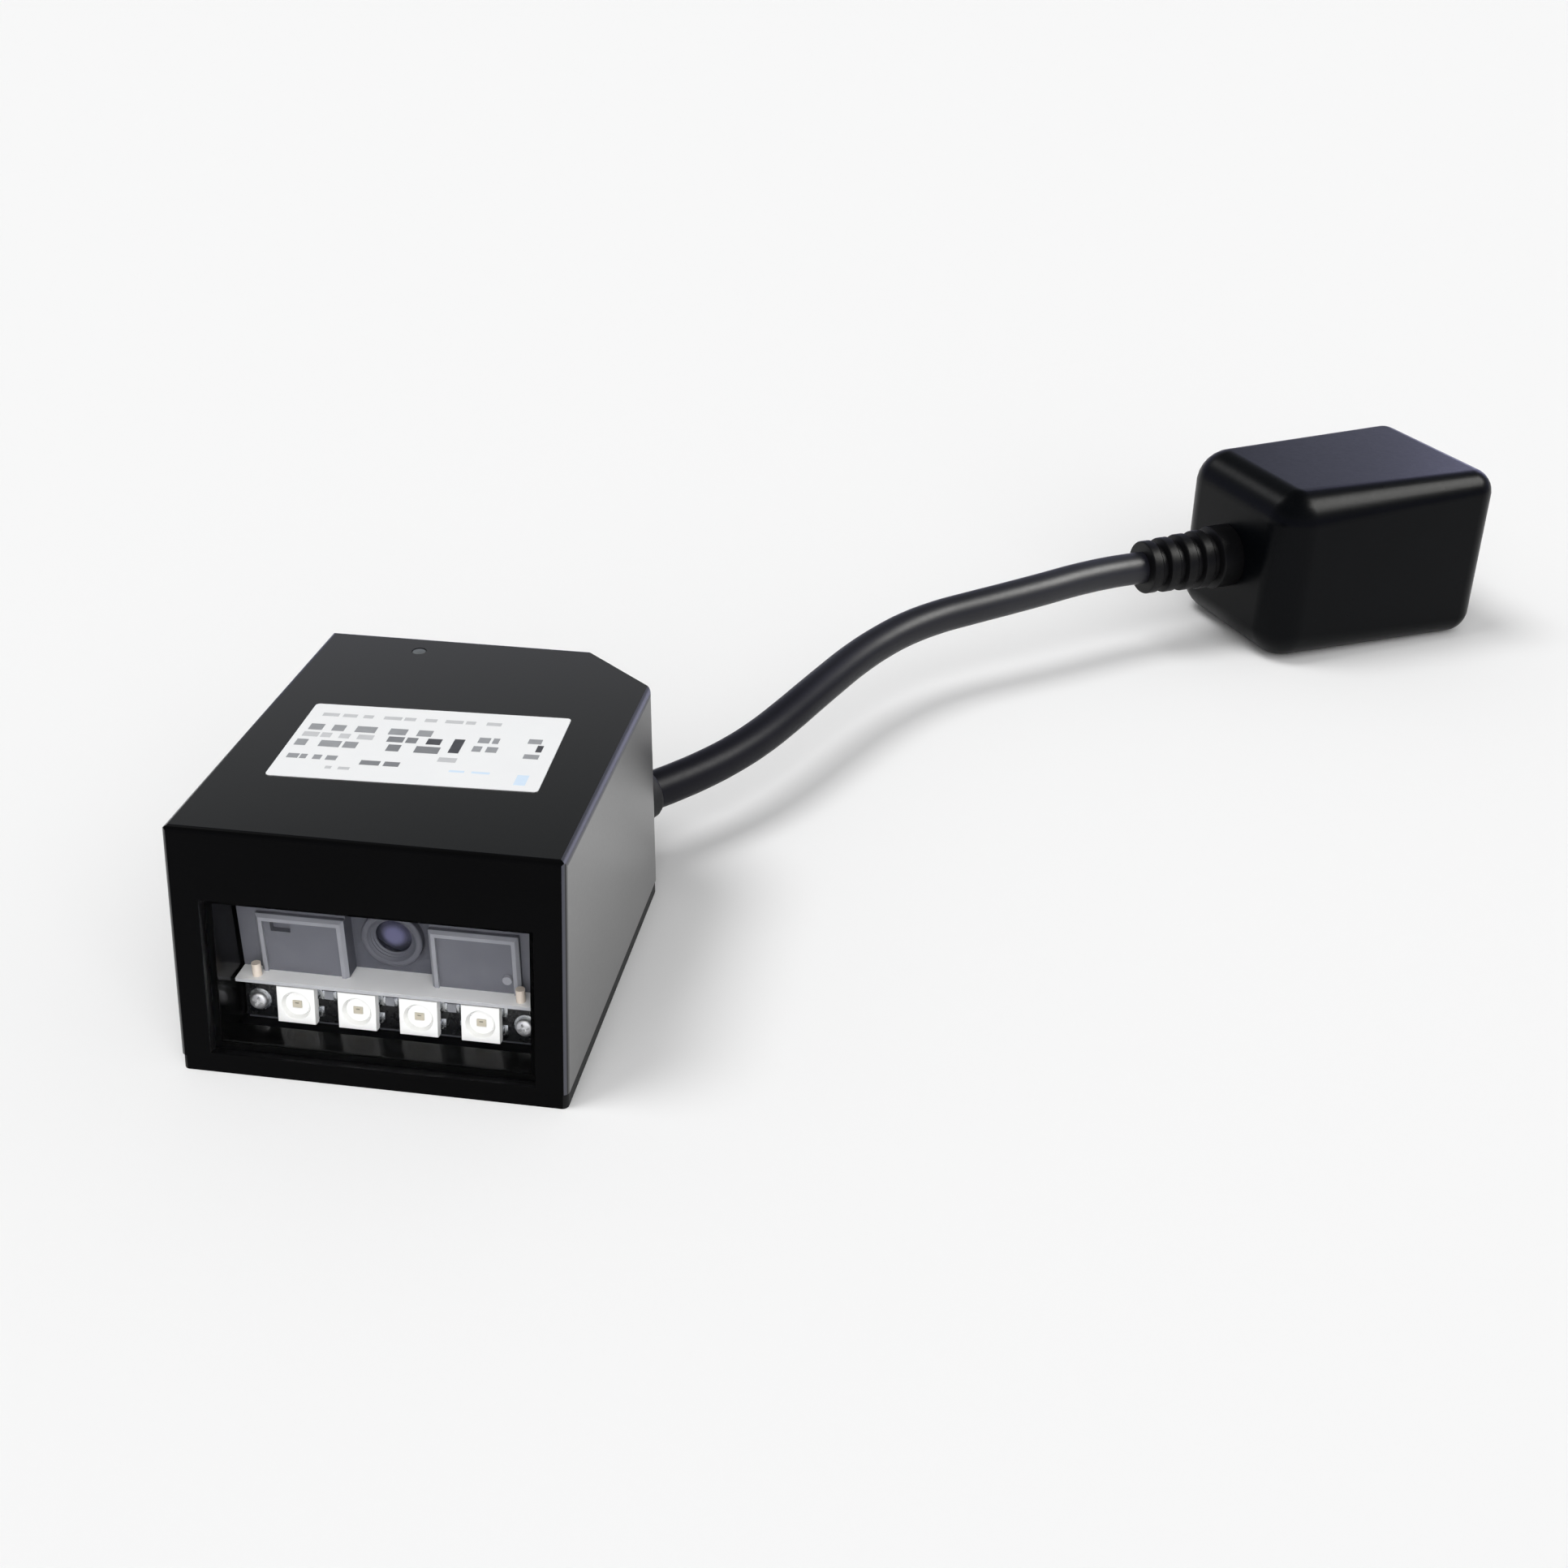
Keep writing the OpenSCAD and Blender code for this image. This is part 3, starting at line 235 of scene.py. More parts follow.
# wires inside: dull red
wirePvc = mouldedPlastic("red PVC insulation", ("#7a2d2b", "#8a3733"), 0.4, 0.06, 0.6, 0.004)
# lamp bodies: clean white, the brightest spots in the window
lampWhite = mouldedPlastic("white PPA", ("#f3f3ef", "#fafaf6"), 0.42, 0.06, 0.4, 0.003, 0.5, 2.0)
# lamp board: black lacquer with a wet gleam
boardBlack = mouldedPlastic("black solder mask", ("#0d0d0e", "#121314"), 0.28, 0.06, 0.8, 0.003, 0.4, 4.0)
# other boards: deep green lacquer
boardGreen = mouldedPlastic("green solder mask", ("#114a2c", "#17583a"), 0.3, 0.06, 0.8, 0.004, 0.5, 4.0)
# flat cable: glossy amber film
flexFilm = mouldedPlastic("amber polyimide", ("#a8631f", "#bb7430"), 0.3, 0.05, 1.0, 0.003)
# resistors: a grey glaze between bright ends
chipCeramic = mouldedPlastic("grey resistor glaze", ("#77797d", "#85878b"), 0.35, 0.05, 0.4, 0.003)
# label: smooth, cool white
labelFilm = mouldedPlastic("white polyester film", ("#f1f2f3", "#f6f7f7"), 0.38, 0.04, 0.6, 0.002, 0.4, 6.0)
# the light pipe is frosted at its end, so it shows as a paler spot in the roof
pipeFrosted = mouldedPlastic("frosted polycarbonate", ("#54585a", "#666a6b"), 0.4, 0.05, 0.3, 0.004, 0.5, 1.0)
# dies: a beige square with a darker contact at the bottom of each lamp
dieBeige = mouldedPlastic("lamp die", ("#cdc6b4", "#bcb4a1"), 0.35, 0.05, 0.2, 0.002, 0.5, 0.5)
dieDark = mouldedPlastic("lamp die contact", ("#8b8678", "#767264"), 0.35, 0.05, 0.2, 0.002, 0.5, 0.5)


# printing ink: flat, a little denser in places, as on a worn thermal label
def printingInk(name, tones):
    return mouldedPlastic(name, tones, 0.5, 0.05, 0.8, 0.001, 0.3, 1.6)


labelInk = printingInk("grey printing ink", ("#8b8d90", "#a7a9ac"))
labelDark = printingInk("black printing ink", ("#3a3b3e", "#5a5b5f"))
labelBlue = printingInk("pale blue printing ink", ("#d0e4f8", "#deedfb"))
labelFaint = printingInk("worn printing ink", ("#bfc0c2", "#d0d1d3"))
labelMid = printingInk("dark grey printing ink", ("#77797c", "#8b8d90"))

# screws: bright plating with a dull mottle
screwSteel = wroughtMetal("zinc plated steel", ("#c6c8ca", "#a9abae"), 0.3, 0.08, 0.35, 0.003)
# bright nickel of the small screws: scatters enough to show as a pale spot
screwNickel = wroughtMetal("bright nickel", ("#f2f2f1", "#e2e2e1"), 0.5, 0.06, 0.3, 0.003)
# inserts: warm yellow metal
insertBrass = wroughtMetal("turned brass", ("#c9a45a", "#b58f47"), 0.3, 0.08, 0.4, 0.004)
# socket shell: soft grey metal
socketTin = wroughtMetal("tinned steel", ("#bfc0c0", "#a8aaab"), 0.32, 0.07, 0.6, 0.004)
# contacts: deep yellow glints in the dark block
contactGold = wroughtMetal("flash gold", ("#d9b35a", "#caa048"), 0.24, 0.06, 0.4, 0.002)
# solder: small bright beads
solderTin = wroughtMetal("solder", ("#c9cbcd", "#b3b6b8"), 0.26, 0.08, 0.3, 0.006)
# window: hardly seen, only a trace of haze
paneAcrylic = clearSheet("clear acrylic, coated", "#fdfdfd", 1.05, 0.004, 0.01)
# lamp resin: a clear gel over the dies
resinClear = clearSheet("clear silicone", "#ffffff", 1.1, 0.03, 0.03)
print("materials made")


# mesh helpers
def mergedCopy(node):
    bm = bmesh.new()
    bm.from_mesh(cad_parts[node].data)
    bmesh.ops.remove_doubles(bm, verts=bm.verts, dist=1e-6)
    bmesh.ops.dissolve_limit(bm, angle_limit=math.radians(0.4), verts=bm.verts, edges=bm.edges)
    return bm


def sharpEdges(bm, angle):
    limit = math.radians(angle)
    return [e for e in bm.edges if len(e.link_faces) == 2 and e.calc_face_angle(0) > limit]


def bevelEdges(bm, edges, width, segments):
    bmesh.ops.bevel(bm, geom=edges, offset=width * mm, offset_type="OFFSET", segments=segments, profile=0.5,
                    affect="EDGES", clamp_overlap=True, material=-1)


def softenEdges(bm, width, angle=50):
    bevelEdges(bm, sharpEdges(bm, angle), width, 2)


def addPiece(name, bm, mats, replaced, smoothAngle=35):
    for face in bm.faces:
        face.smooth = True
    for edge in bm.edges:
        edge.smooth = True
    for edge in sharpEdges(bm, smoothAngle):
        edge.smooth = False
    mesh = bpy.data.meshes.new(name)
    bm.to_mesh(mesh)
    bm.free()
    for mat in mats:
        mesh.materials.append(mat)
    piece = bpy.data.objects.new(name, mesh)
    bpy.context.scene.collection.objects.link(piece)
    even = piece.modifiers.new("evenNormals", "WEIGHTED_NORMAL")
    even.keep_sharp = True
    even.weight = 90
    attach(piece, "root")
    if replaced:
        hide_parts(*replaced)


# radius of an outline at an angle: square, cross recess or hexagon
def outlineRadius(shape, radius, angle):
    c, s = abs(math.cos(angle)), abs(math.sin(angle))
    if shape == "square":
        return radius / max(c, s)
    if shape == "cross":
        arm = 0.27 * radius      # half the width of the cross's arms
        return min(radius / max(c, s), arm / max(min(c, s), 1e-6))
    sector = math.pi / 3
    return radius / math.cos((angle + sector / 2) % sector - sector / 2)


# adds a finished part to a mesh, in its place
def pourInto(bm, part, place):
    part.transform(place)
    spare = bpy.data.meshes.new("spare")
    part.to_mesh(spare)
    part.free()
    bm.from_mesh(spare)
    bpy.data.meshes.remove(spare)


# turns a profile of (radius, height) in mm about its own Z; a row may name another outline than round
def turnedInto(bm, profile, place, segments=32):
    part = bmesh.new()
    ring = part.verts.layers.int.new("ring")
    verts = []
    for i, row in enumerate(profile):
        verts.append(part.verts.new((row[0] * mm, 0, row[1] * mm)))
        verts[-1][ring] = i
    edges = [part.edges.new(pair) for pair in zip(verts, verts[1:])]
    bmesh.ops.spin(part, geom=verts + edges, cent=(0, 0, 0), axis=(0, 0, 1), angle=math.tau, steps=segments,
                   use_merge=True)
    for v in part.verts:
        row = profile[v[ring]]
        if len(row) > 2:
            angle = math.atan2(v.co.y, v.co.x)
            reach = outlineRadius(row[2], row[0], angle) * mm
            v.co.x, v.co.y = reach * math.cos(angle), reach * math.sin(angle)
    bmesh.ops.remove_doubles(part, verts=part.verts, dist=1e-7)
    bmesh.ops.recalc_face_normals(part, faces=part.faces)
    pourInto(bm, part, place)


# adds a bevelled block of a size in mm, standing on its own z = 0
def blockInto(bm, size, place, soft, mat=0, segments=2):
    part = bmesh.new()
    bmesh.ops.create_cube(part, size=1.0)
    bmesh.ops.translate(part, verts=part.verts, vec=(0, 0, 0.5))
    bmesh.ops.scale(part, verts=part.verts, vec=Vector(size) * mm)
    bevelEdges(part, part.edges[:], soft, segments)
    for face in part.faces:
        face.material_index = mat
    pourInto(bm, part, place)


# rings that stand for a fine thread
def threadRows(bore, start, pitch, turns, depth=0.16):
    rows = []
    for i in range(turns):
        z = start + i * pitch
        rows += [(bore, z), (bore + depth, z + pitch / 2)]
    return rows


def at(x, y, z):
    return Matrix.Translation(Vector((x, y, z)) * mm)


def middle(node):
    low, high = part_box(node)
    return (low + high) / 2


def quarter(axis):
    return Matrix.Rotation(math.radians(90), 4, axis)


# the leaning front: x across, y up the face, z outwards
front = {"lean": 5.0, "height": 32.5}      # mm that it leans back over its height
frontTurn = Matrix.Rotation(math.radians(90) - math.atan2(front["lean"], front["height"]), 4, "X")
frontOut = frontTurn.to_3x3() @ Vector((0, 0, 1))


# cable: one smooth curve through the route's own points, from the grommet to the strain relief
cable = {
    "diameter": 0.0058,
    "exit": (0.0223, 0.0295, 0.011),
    "length": 0.1163,
    "route": [
        (0.0223, 0.0295, 0.0110), (0.0255, 0.0332, 0.0110), (0.0290, 0.0376, 0.0111),
        (0.0324, 0.0426, 0.0113), (0.0356, 0.0484, 0.0116), (0.0385, 0.0548, 0.0120),
        (0.0412, 0.0614, 0.0124), (0.0440, 0.0682, 0.0128), (0.0470, 0.0748, 0.0133),
        (0.0505, 0.0810, 0.0138), (0.0546, 0.0866, 0.0143), (0.0594, 0.0914, 0.0147),
        (0.0648, 0.0956, 0.0150), (0.0706, 0.0999, 0.0153), (0.0766, 0.1045, 0.0156),
        (0.0830, 0.1096, 0.0159), (0.0892, 0.1140, 0.0160), (0.0944, 0.1170, 0.0160)],
    "dull": (0.055, 0.12),      # y up to which the painted sheen is weak, and its shine there
    "bright": (0.105, 0.45),    # y from which the painted sheen is full, and its shine there
}
curve = bpy.data.curves.new("cable", "CURVE")
curve.dimensions = "3D"
curve.bevel_depth = cable["diameter"] / 2
curve.bevel_resolution = 7
curve.resolution_u = 8
curve.use_fill_caps = True
spline = curve.splines.new("BEZIER")
spline.bezier_points.add(len(cable["route"]) - 1)
for point, place in zip(spline.bezier_points, cable["route"]):
    point.co = place
    point.handle_left_type = point.handle_right_type = "AUTO"
# painted sheen: the jacket's shine rises along y from the reader towards the hood, standing for how the light
# falls along the cable
tree = cablePvc.node_tree
shader = next(n for n in tree.nodes if n.type == "BSDF_PRINCIPLED")
around = addNode(tree, "ShaderNodeTexCoord")
along = addNode(tree, "ShaderNodeSeparateXYZ", {"Vector": around.outputs["Object"]})
paintedSheen = addNode(tree, "ShaderNodeMapRange", {
    "Value": along.outputs["Y"], "From Min": cable["dull"][0], "To Min": cable["dull"][1],
    "From Max": cable["bright"][0], "To Max": cable["bright"][1]})
tree.links.new(paintedSheen.outputs["Result"], shader.inputs["Specular IOR Level"])
curve.materials.append(cablePvc)
cablePiece = bpy.data.objects.new("cable_sheath", curve)
bpy.context.scene.collection.objects.link(cablePiece)
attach(cablePiece, "root")
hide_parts("cable")
print("cable laid")


# housing: the moulded shell, with finishes of its own on front, window tunnel and walls, a painted sheen on
# the right wall and a painted cool highlight on the roof's right edge
housing = {
    "soft": 0.12,
    "frontDepth": 1.2, "facing": 0.25, "aside": 0.3,      # the matt front: depth, least turn, most turn aside
    "tunnelEnd": -16.5, "halfWidth": 20.9, "low": 2.7, "high": 23.6,      # room of the window tunnel
    "slope": 0.1, "square": 0.9,      # a wall slopes less than this, and the right wall faces right by this
    "edge": 23.5,      # x from which the roof's edge carries the painted cool highlight
    "finishes": [housingAbs, frontAbs, tunnelAbs, wallAbs, sheenWallAbs, edgeHighlightAbs],
}
bm = mergedCopy("housing")
frontPoint = Vector((0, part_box("base_plate")[0].y, 0))
for face in bm.faces:
    center = face.calc_center_median()
    x, y, z = center / mm
    across, up = face.normal.x, face.normal.z
    ahead = (center - frontPoint).dot(frontOut) / mm
    facesFront = face.normal.dot(frontOut) > housing["facing"] and abs(across) < housing["aside"]
    amidWalls = abs(x) < housing["halfWidth"] and housing["low"] < z < housing["high"]
    finish = housingAbs
    if facesFront and ahead > -housing["frontDepth"]:
        finish = frontAbs
    elif amidWalls and y < housing["tunnelEnd"] and ahead < 0:
        finish = tunnelAbs
    elif abs(up) < housing["slope"]:
        # the right wall takes the painted sheen
        finish = sheenWallAbs if across > housing["square"] else wallAbs
    elif across > housing["slope"] and up > housing["slope"] and x > housing["edge"]:
        # the roof's right edge takes the painted cool highlight
        finish = edgeHighlightAbs
    face.material_index = housing["finishes"].index(finish)
softenEdges(bm, housing["soft"])
addPiece("housing_shell", bm, housing["finishes"], ["housing"])

base = {"soft": 0.15, "facing": 0.98}
bm = mergedCopy("base_plate")
for face in bm.faces:
    if face.normal.dot(frontOut) > base["facing"]:      # its front edge is matt like the housing's front
        face.material_index = 1
softenEdges(bm, base["soft"])
addPiece("base_cover", bm, [baseAbs, frontAbs], ["base_plate"])

pane = {"soft": 0.05}
bm = mergedCopy("window_pane")
softenEdges(bm, pane["soft"])
addPiece("window_clear", bm, [paneAcrylic], ["window_pane"])
print("housing, base and window made")


# chassis: grey moulding with painted highlights on the panels' borders and on the shelf, painted shade in the
# lens recess, and two beige pins
chassis = {
    "soft": 0.1, "sharp": 40,
    "face": -20.6, "seen": 2.2,                      # y of its front wall, and the depth that shows
    "border": 0.65,                                  # the panels' borders stand out further than this
    "shelfLow": 8.2, "shelfHigh": 9.6, "lip": 0.1, "level": 0.9,      # the shelf, and how level its top is
    "recess": 5.5, "sunk": 0.05,                     # half the width of the lens recess, and its least depth
    "pinX": 17.2, "pinRadius": 0.7, "pinAhead": 1.2,
    "finishes": [chassisPlastic, rimHighlight, shelfEdgeHighlight, shelfTopHighlight, recessShade, pinBeige],
}
bm = mergedCopy("engine_chassis")
for face in bm.faces:
    x, y, z = face.calc_center_median() / mm
    ahead = chassis["face"] - y
    if ahead < -chassis["seen"]:
        continue
    upwards = face.normal.z > chassis["level"]
    onShelf = chassis["shelfLow"] < z < chassis["shelfHigh"]
    aboveShelf = z > chassis["shelfHigh"]
    byPin = abs(abs(x) - chassis["pinX"]) < chassis["pinRadius"]
    finish = chassisPlastic
    if byPin and aboveShelf and ahead > chassis["pinAhead"]:
        finish = pinBeige
    elif onShelf and (ahead > chassis["lip"] or upwards):
        # the shelf is painted as a highlight, whitest on its top
        finish = shelfTopHighlight if upwards else shelfEdgeHighlight
    elif ahead < -chassis["sunk"] and abs(x) < chassis["recess"] and aboveShelf:
        # painted shade in the lens recess
        finish = recessShade
    elif ahead > chassis["border"]:
        # painted highlight on the panels' borders
        finish = rimHighlight
    face.material_index = chassis["finishes"].index(finish)
softenEdges(bm, chassis["soft"], chassis["sharp"])
addPiece("chassis_frame", bm, chassis["finishes"], ["engine_chassis"])


# lens: turned barrel with a stepped mouth, and a domed front glass
lens = {
    "tube": [
        (2.6, 9.0), (2.6, 1.0), (2.35, 0.9), (2.6, 0.72), (2.6, 0.62), (2.85, 0.46), (2.85, 0.36),
        (3.1, 0.16), (3.2, 0.03), (3.3, 0.0), (3.8, 0.0), (3.95, 0.1), (4.0, 0.22), (4.0, 9.0), (2.6, 9.0)],
    "rim": 2.58, "dome": 6.0, "seat": 0.92, "thick": 1.4, "chamfer": 0.1, "steps": 8,
    "glint": 1.9,      # radius of the painted violet glint
}
barrelLow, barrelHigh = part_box("lens_barrel")
lensMouth = Matrix.Translation((0, barrelLow.y, (barrelLow.z + barrelHigh.z) / 2))
lensAxis = lensMouth @ Matrix.Rotation(math.radians(-90), 4, "X")
bm = bmesh.new()
turnedInto(bm, lens["tube"], lensAxis, segments=64)
addPiece("lens_tube", bm, [barrelGrey], ["lens_barrel"])
glass = []
for i in range(lens["steps"] + 1):
    radius = lens["rim"] * i / lens["steps"]
    glass.append((radius, lens["seat"] + lens["dome"] - math.sqrt(lens["dome"] ** 2 - radius ** 2)))
back = lens["seat"] + lens["thick"]
glass += [(lens["rim"], back - lens["chamfer"]), (lens["rim"] - lens["chamfer"], back), (0, back)]
bm = bmesh.new()
turnedInto(bm, glass, lensAxis, segments=48)
lensCoated = coatedGlass(middle("lens_glass"), lens["glint"])
addPiece("lens_front", bm, [lensCoated], ["lens_glass"])
print("engine and lens made")


# lamp row: white bodies with tinned leads, clear resin in the cups and a die under it
lamp = {
    "count": 4, "pitch": 8.05, "size": 5.0, "thick": 1.6, "cup": 3.9, "cupDepth": 0.7,
    "lead": (0.25, 1.3, 0.5), "leadUp": 1.3, "leadIn": 0.06, "leadLift": 0.005, "leadSoft": 0.06,
    "pad": (0.7, 1.5, 0.05), "padOut": 0.25, "padSoft": 0.02,
    "die": (1.2, 0.96, 0.2), "dieLift": 0.03, "dieSoft": 0.03,
    "contact": (0.5, 0.16, 0.03), "contactUp": 0.18, "contactLift": 0.22, "contactSoft": 0.01,
}
lampFace = Matrix.Translation(middle("led_lamps") + frontOut * lamp["thick"] / 2 * mm) @ frontTurn
boardTop = lampFace @ at(0, 0, -lamp["thick"])
half, cup, tall = lamp["size"] / 2, lamp["cup"] / 2, lamp["thick"]
floorUp = tall - lamp["cupDepth"]
body = [
    (0, floorUp), (cup - 0.4, floorUp), (cup - 0.05, tall - 0.06), (cup, tall), (half - 0.15, tall, "square"),
    (half - 0.03, tall - 0.06, "square"), (half, tall - 0.2, "square"), (half, 0.45, "square"),
    (half - 0.12, 0.4, "square"), (half - 0.12, 0, "square"), (0, 0)]
filling = [
    (0, tall - 0.05), (cup * 0.5, tall - 0.055), (cup - 0.2, tall - 0.08), (cup - 0.07, tall - 0.1),
    (cup - 0.39, floorUp + 0.02), (0, floorUp + 0.02)]
spots = [boardTop @ at((i - (lamp["count"] - 1) / 2) * lamp["pitch"], 0, 0) for i in range(lamp["count"])]
corners = [(side, lead) for side in (-1, 1) for lead in (-1, 1)]
packages, resins, dies = bmesh.new(), bmesh.new(), bmesh.new()
for spot in spots:
    turnedInto(packages, body, spot, segments=48)
    for side, lead in corners:
        foot = spot @ at(side * (half - lamp["leadIn"]), lead * lamp["leadUp"], lamp["leadLift"])
        blockInto(packages, lamp["lead"], foot, lamp["leadSoft"], 1)
    turnedInto(resins, filling, spot, segments=48)
    blockInto(dies, lamp["die"], spot @ at(0, 0, floorUp + lamp["dieLift"]), lamp["dieSoft"])
    onDie = spot @ at(0, lamp["contactUp"], floorUp + lamp["contactLift"])
    blockInto(dies, lamp["contact"], onDie, lamp["contactSoft"], 1)
addPiece("lamp_packages", packages, [lampWhite, solderTin], ["led_lamps"])
addPiece("lamp_resin", resins, [resinClear], ())
addPiece("lamp_dies", dies, [dieBeige, dieDark], ())

# chip resistors with tinned ends
resistor = {
    "size": (2.0, 1.25, 0.5), "up": 1.3,
    "core": (1.16, 1.19, 0.47), "coreLift": 0.005, "coreSoft": 0.04,
    "cap": 0.42, "capLift": 0.002, "capSoft": 0.08,
}
length, width, height = resistor["size"]
bm = bmesh.new()
for i in range(1, lamp["count"]):
    spot = boardTop @ at((i - lamp["count"] / 2) * lamp["pitch"], resistor["up"], 0)
    blockInto(bm, resistor["core"], spot @ at(0, 0, resistor["coreLift"]), resistor["coreSoft"])
    for side in (-1, 1):
        end = spot @ at(side * (length - resistor["cap"]) / 2, 0, resistor["capLift"])
        blockInto(bm, (resistor["cap"], width, height), end, resistor["capSoft"], 1)
addPiece("resistor_row", bm, [chipCeramic, solderTin], ["led_resistors"])

# lamp board with solder pads, and pan head screws with a cross recess at its ends
board = {
    "soft": 0.08,
    "ring": [(0.82, 0.03), (1.5, 0.03), (1.52, 0.0), (0.8, 0.0), (0.82, 0.03)],
    "head": 1.2, "headHeight": 0.9, "shank": 0.7, "length": 3.9, "drop": -0.4, "lift": 0.02, "turn": 0.4,
}
bm = mergedCopy("led_board")
softenEdges(bm, board["soft"])
addPiece("lamp_circuit", bm, [boardBlack], ["led_board"])
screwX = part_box("led_board_screws")[1].x / mm - board["head"]
pads = bmesh.new()
for side in (-1, 1):
    turnedInto(pads, board["ring"], boardTop @ at(side * screwX, board["drop"], 0), segments=40)
for spot in spots:
    for side, lead in corners:
        foot = spot @ at(side * (half + lamp["padOut"]), lead * lamp["leadUp"], 0)
        blockInto(pads, lamp["pad"], foot, lamp["padSoft"])
addPiece("lamp_pads", pads, [solderTin], ())
head, up, shank = board["head"], board["headHeight"], board["shank"]
panHead = [
    (0, up * 0.5), (head * 0.42, up * 0.55, "cross"), (head * 0.6, up * 0.985, "cross"),
    (head * 0.7, up * 0.97), (head * 0.86, up * 0.86), (head * 0.96, up * 0.66), (head, up * 0.42),
    (head, 0.05), (head - 0.05, 0), (shank, 0), (shank, 0.3 - board["length"]),
    (shank * 0.6, -board["length"]), (0, -board["length"])]
bm = bmesh.new()
for side in (-1, 1):
    turned = Matrix.Rotation(board["turn"] * side, 4, "Z")
    turnedInto(bm, panHead, boardTop @ at(side * screwX, board["drop"], board["lift"]) @ turned)
addPiece("lamp_screws", bm, [screwNickel], ["led_board_screws"])
print("lamp row made")


# status light pipe: a low dome flush with the roof, held by a collar under it
pipe = {"radius": 1.0, "collar": 1.4, "collarLow": 2.8, "collarHigh": 2.0}
pipeLow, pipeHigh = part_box("status_light_pipe")
top = (pipeHigh.z - pipeLow.z) / mm
collarLow, collarHigh = top - pipe["collarLow"], top - pipe["collarHigh"]
bm = bmesh.new()
turnedInto(bm, [
    (0, 0), (pipe["radius"] - 0.05, 0), (pipe["radius"], 0.05), (pipe["radius"], collarLow),
    (pipe["collar"], collarLow), (pipe["collar"], collarHigh), (pipe["radius"], collarHigh),
    (pipe["radius"], top - 0.2), (0.9, top - 0.08), (0.6, top - 0.02), (0, top)],
    Matrix.Translation(((pipeLow.x + pipeHigh.x) / 2, (pipeLow.y + pipeHigh.y) / 2, pipeLow.z)))
addPiece("status_lens", bm, [pipeFrosted], ["status_light_pipe"])


# type label: film with rounded corners and rows of plain bars where printing would be
label = {
    "soft": 0.03,
    "inks": [labelInk, labelDark, labelBlue, labelFaint, labelMid],
    "rows": [      # left, right, height up the label, bar height, number of bars, ink counted from 0
        (-15.6, 9.5, 7.0, 0.9, 9, 3), (-16.2, -6.8, 3.4, 1.7, 3, 0), (-16.4, -6.6, 1.3, 1.3, 4, 3),
        (-16.6, -7.0, -1.0, 1.7, 3, 0), (-5.4, 2.2, 3.3, 1.7, 2, 0), (-5.0, 0.0, 1.2, 1.5, 2, 4),
        (-4.4, 3.0, -1.1, 1.8, 2, 4), (6.8, 10.6, 2.4, 1.5, 2, 0), (6.6, 10.2, 0.0, 1.5, 2, 0),
        (-16.4, -9.6, -4.7, 1.2, 4, 0), (-6.6, -0.4, -5.4, 1.2, 2, 4), (-10.6, -7.2, -7.2, 0.7, 2, 3),
        (5.2, 11.0, -6.2, 0.5, 2, 2)],
    "marks": [     # x, y, width, height, ink counted from 0
        (1.2, 1.2, 1.9, 1.6, 1), (4.4, 0.4, 1.4, 3.8, 1), (4.2, -3.4, 2.4, 1.2, 3), (14.2, 2.9, 1.8, 1.3, 0),
        (15.2, 1.0, 0.8, 1.8, 1), (14.6, -1.2, 2.0, 1.2, 0), (14.8, -7.4, 1.5, 2.6, 2)],
    "inkThick": 0.012, "inkSoft": 0.004,
    "turn": 2.4,       # degrees that it is stuck on askew
}
bm = mergedCopy("type_label")
softenEdges(bm, label["soft"])
addPiece("label_film", bm, [labelFilm], ["type_label"])
labelLow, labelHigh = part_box("type_label")
labelPlace = Matrix.Translation(((labelLow.x + labelHigh.x) / 2, (labelLow.y + labelHigh.y) / 2, labelHigh.z))
labelTop = labelPlace @ Matrix.Rotation(math.radians(label["turn"]), 4, "Z")
marks = []
for left, right, up, high, count, ink in label["rows"]:
    step = (right - left) / count
    for i in range(count):
        share = 0.66 + 0.22 * math.sin(2.3 * i + up)     # bars of uneven length, with no letters
        marks.append((left + step * (i + share / 2), up, step * share, high, ink))
bm = bmesh.new()
for x, y, wide, high, ink in marks + label["marks"]:
    blockInto(bm, (wide, high, label["inkThick"]), labelTop @ at(x, y, 0), label["inkSoft"], ink, 1)
addPiece("label_print", bm, label["inks"], ())
print("status light and label made")


# grommet: moulded collar with rounded steps, square to the cut corner
grommet = {
    "place": (19.0, 25.75, 11.0), "cut": (12.0, 10.5),
    "profile": [
        (0, -3.4), (4.8, -3.4), (5.0, -3.2), (5.0, -2.0), (3.9, -2.0), (3.9, 0.0), (5.0, 0.0), (4.95, 0.6),
        (4.85, 1.1), (4.6, 1.4), (4.3, 1.75), (3.7, 4.3), (3.45, 4.7), (3.1, 4.95), (0, 4.95)],
}
entry = at(*grommet["place"]) @ Matrix.Rotation(math.atan2(*grommet["cut"]), 4, "Z") @ quarter("Y")
bm = bmesh.new()
turnedInto(bm, grommet["profile"], entry, segments=48)
addPiece("cable_collar", bm, [grommetRubber], ["cable_grommet"])


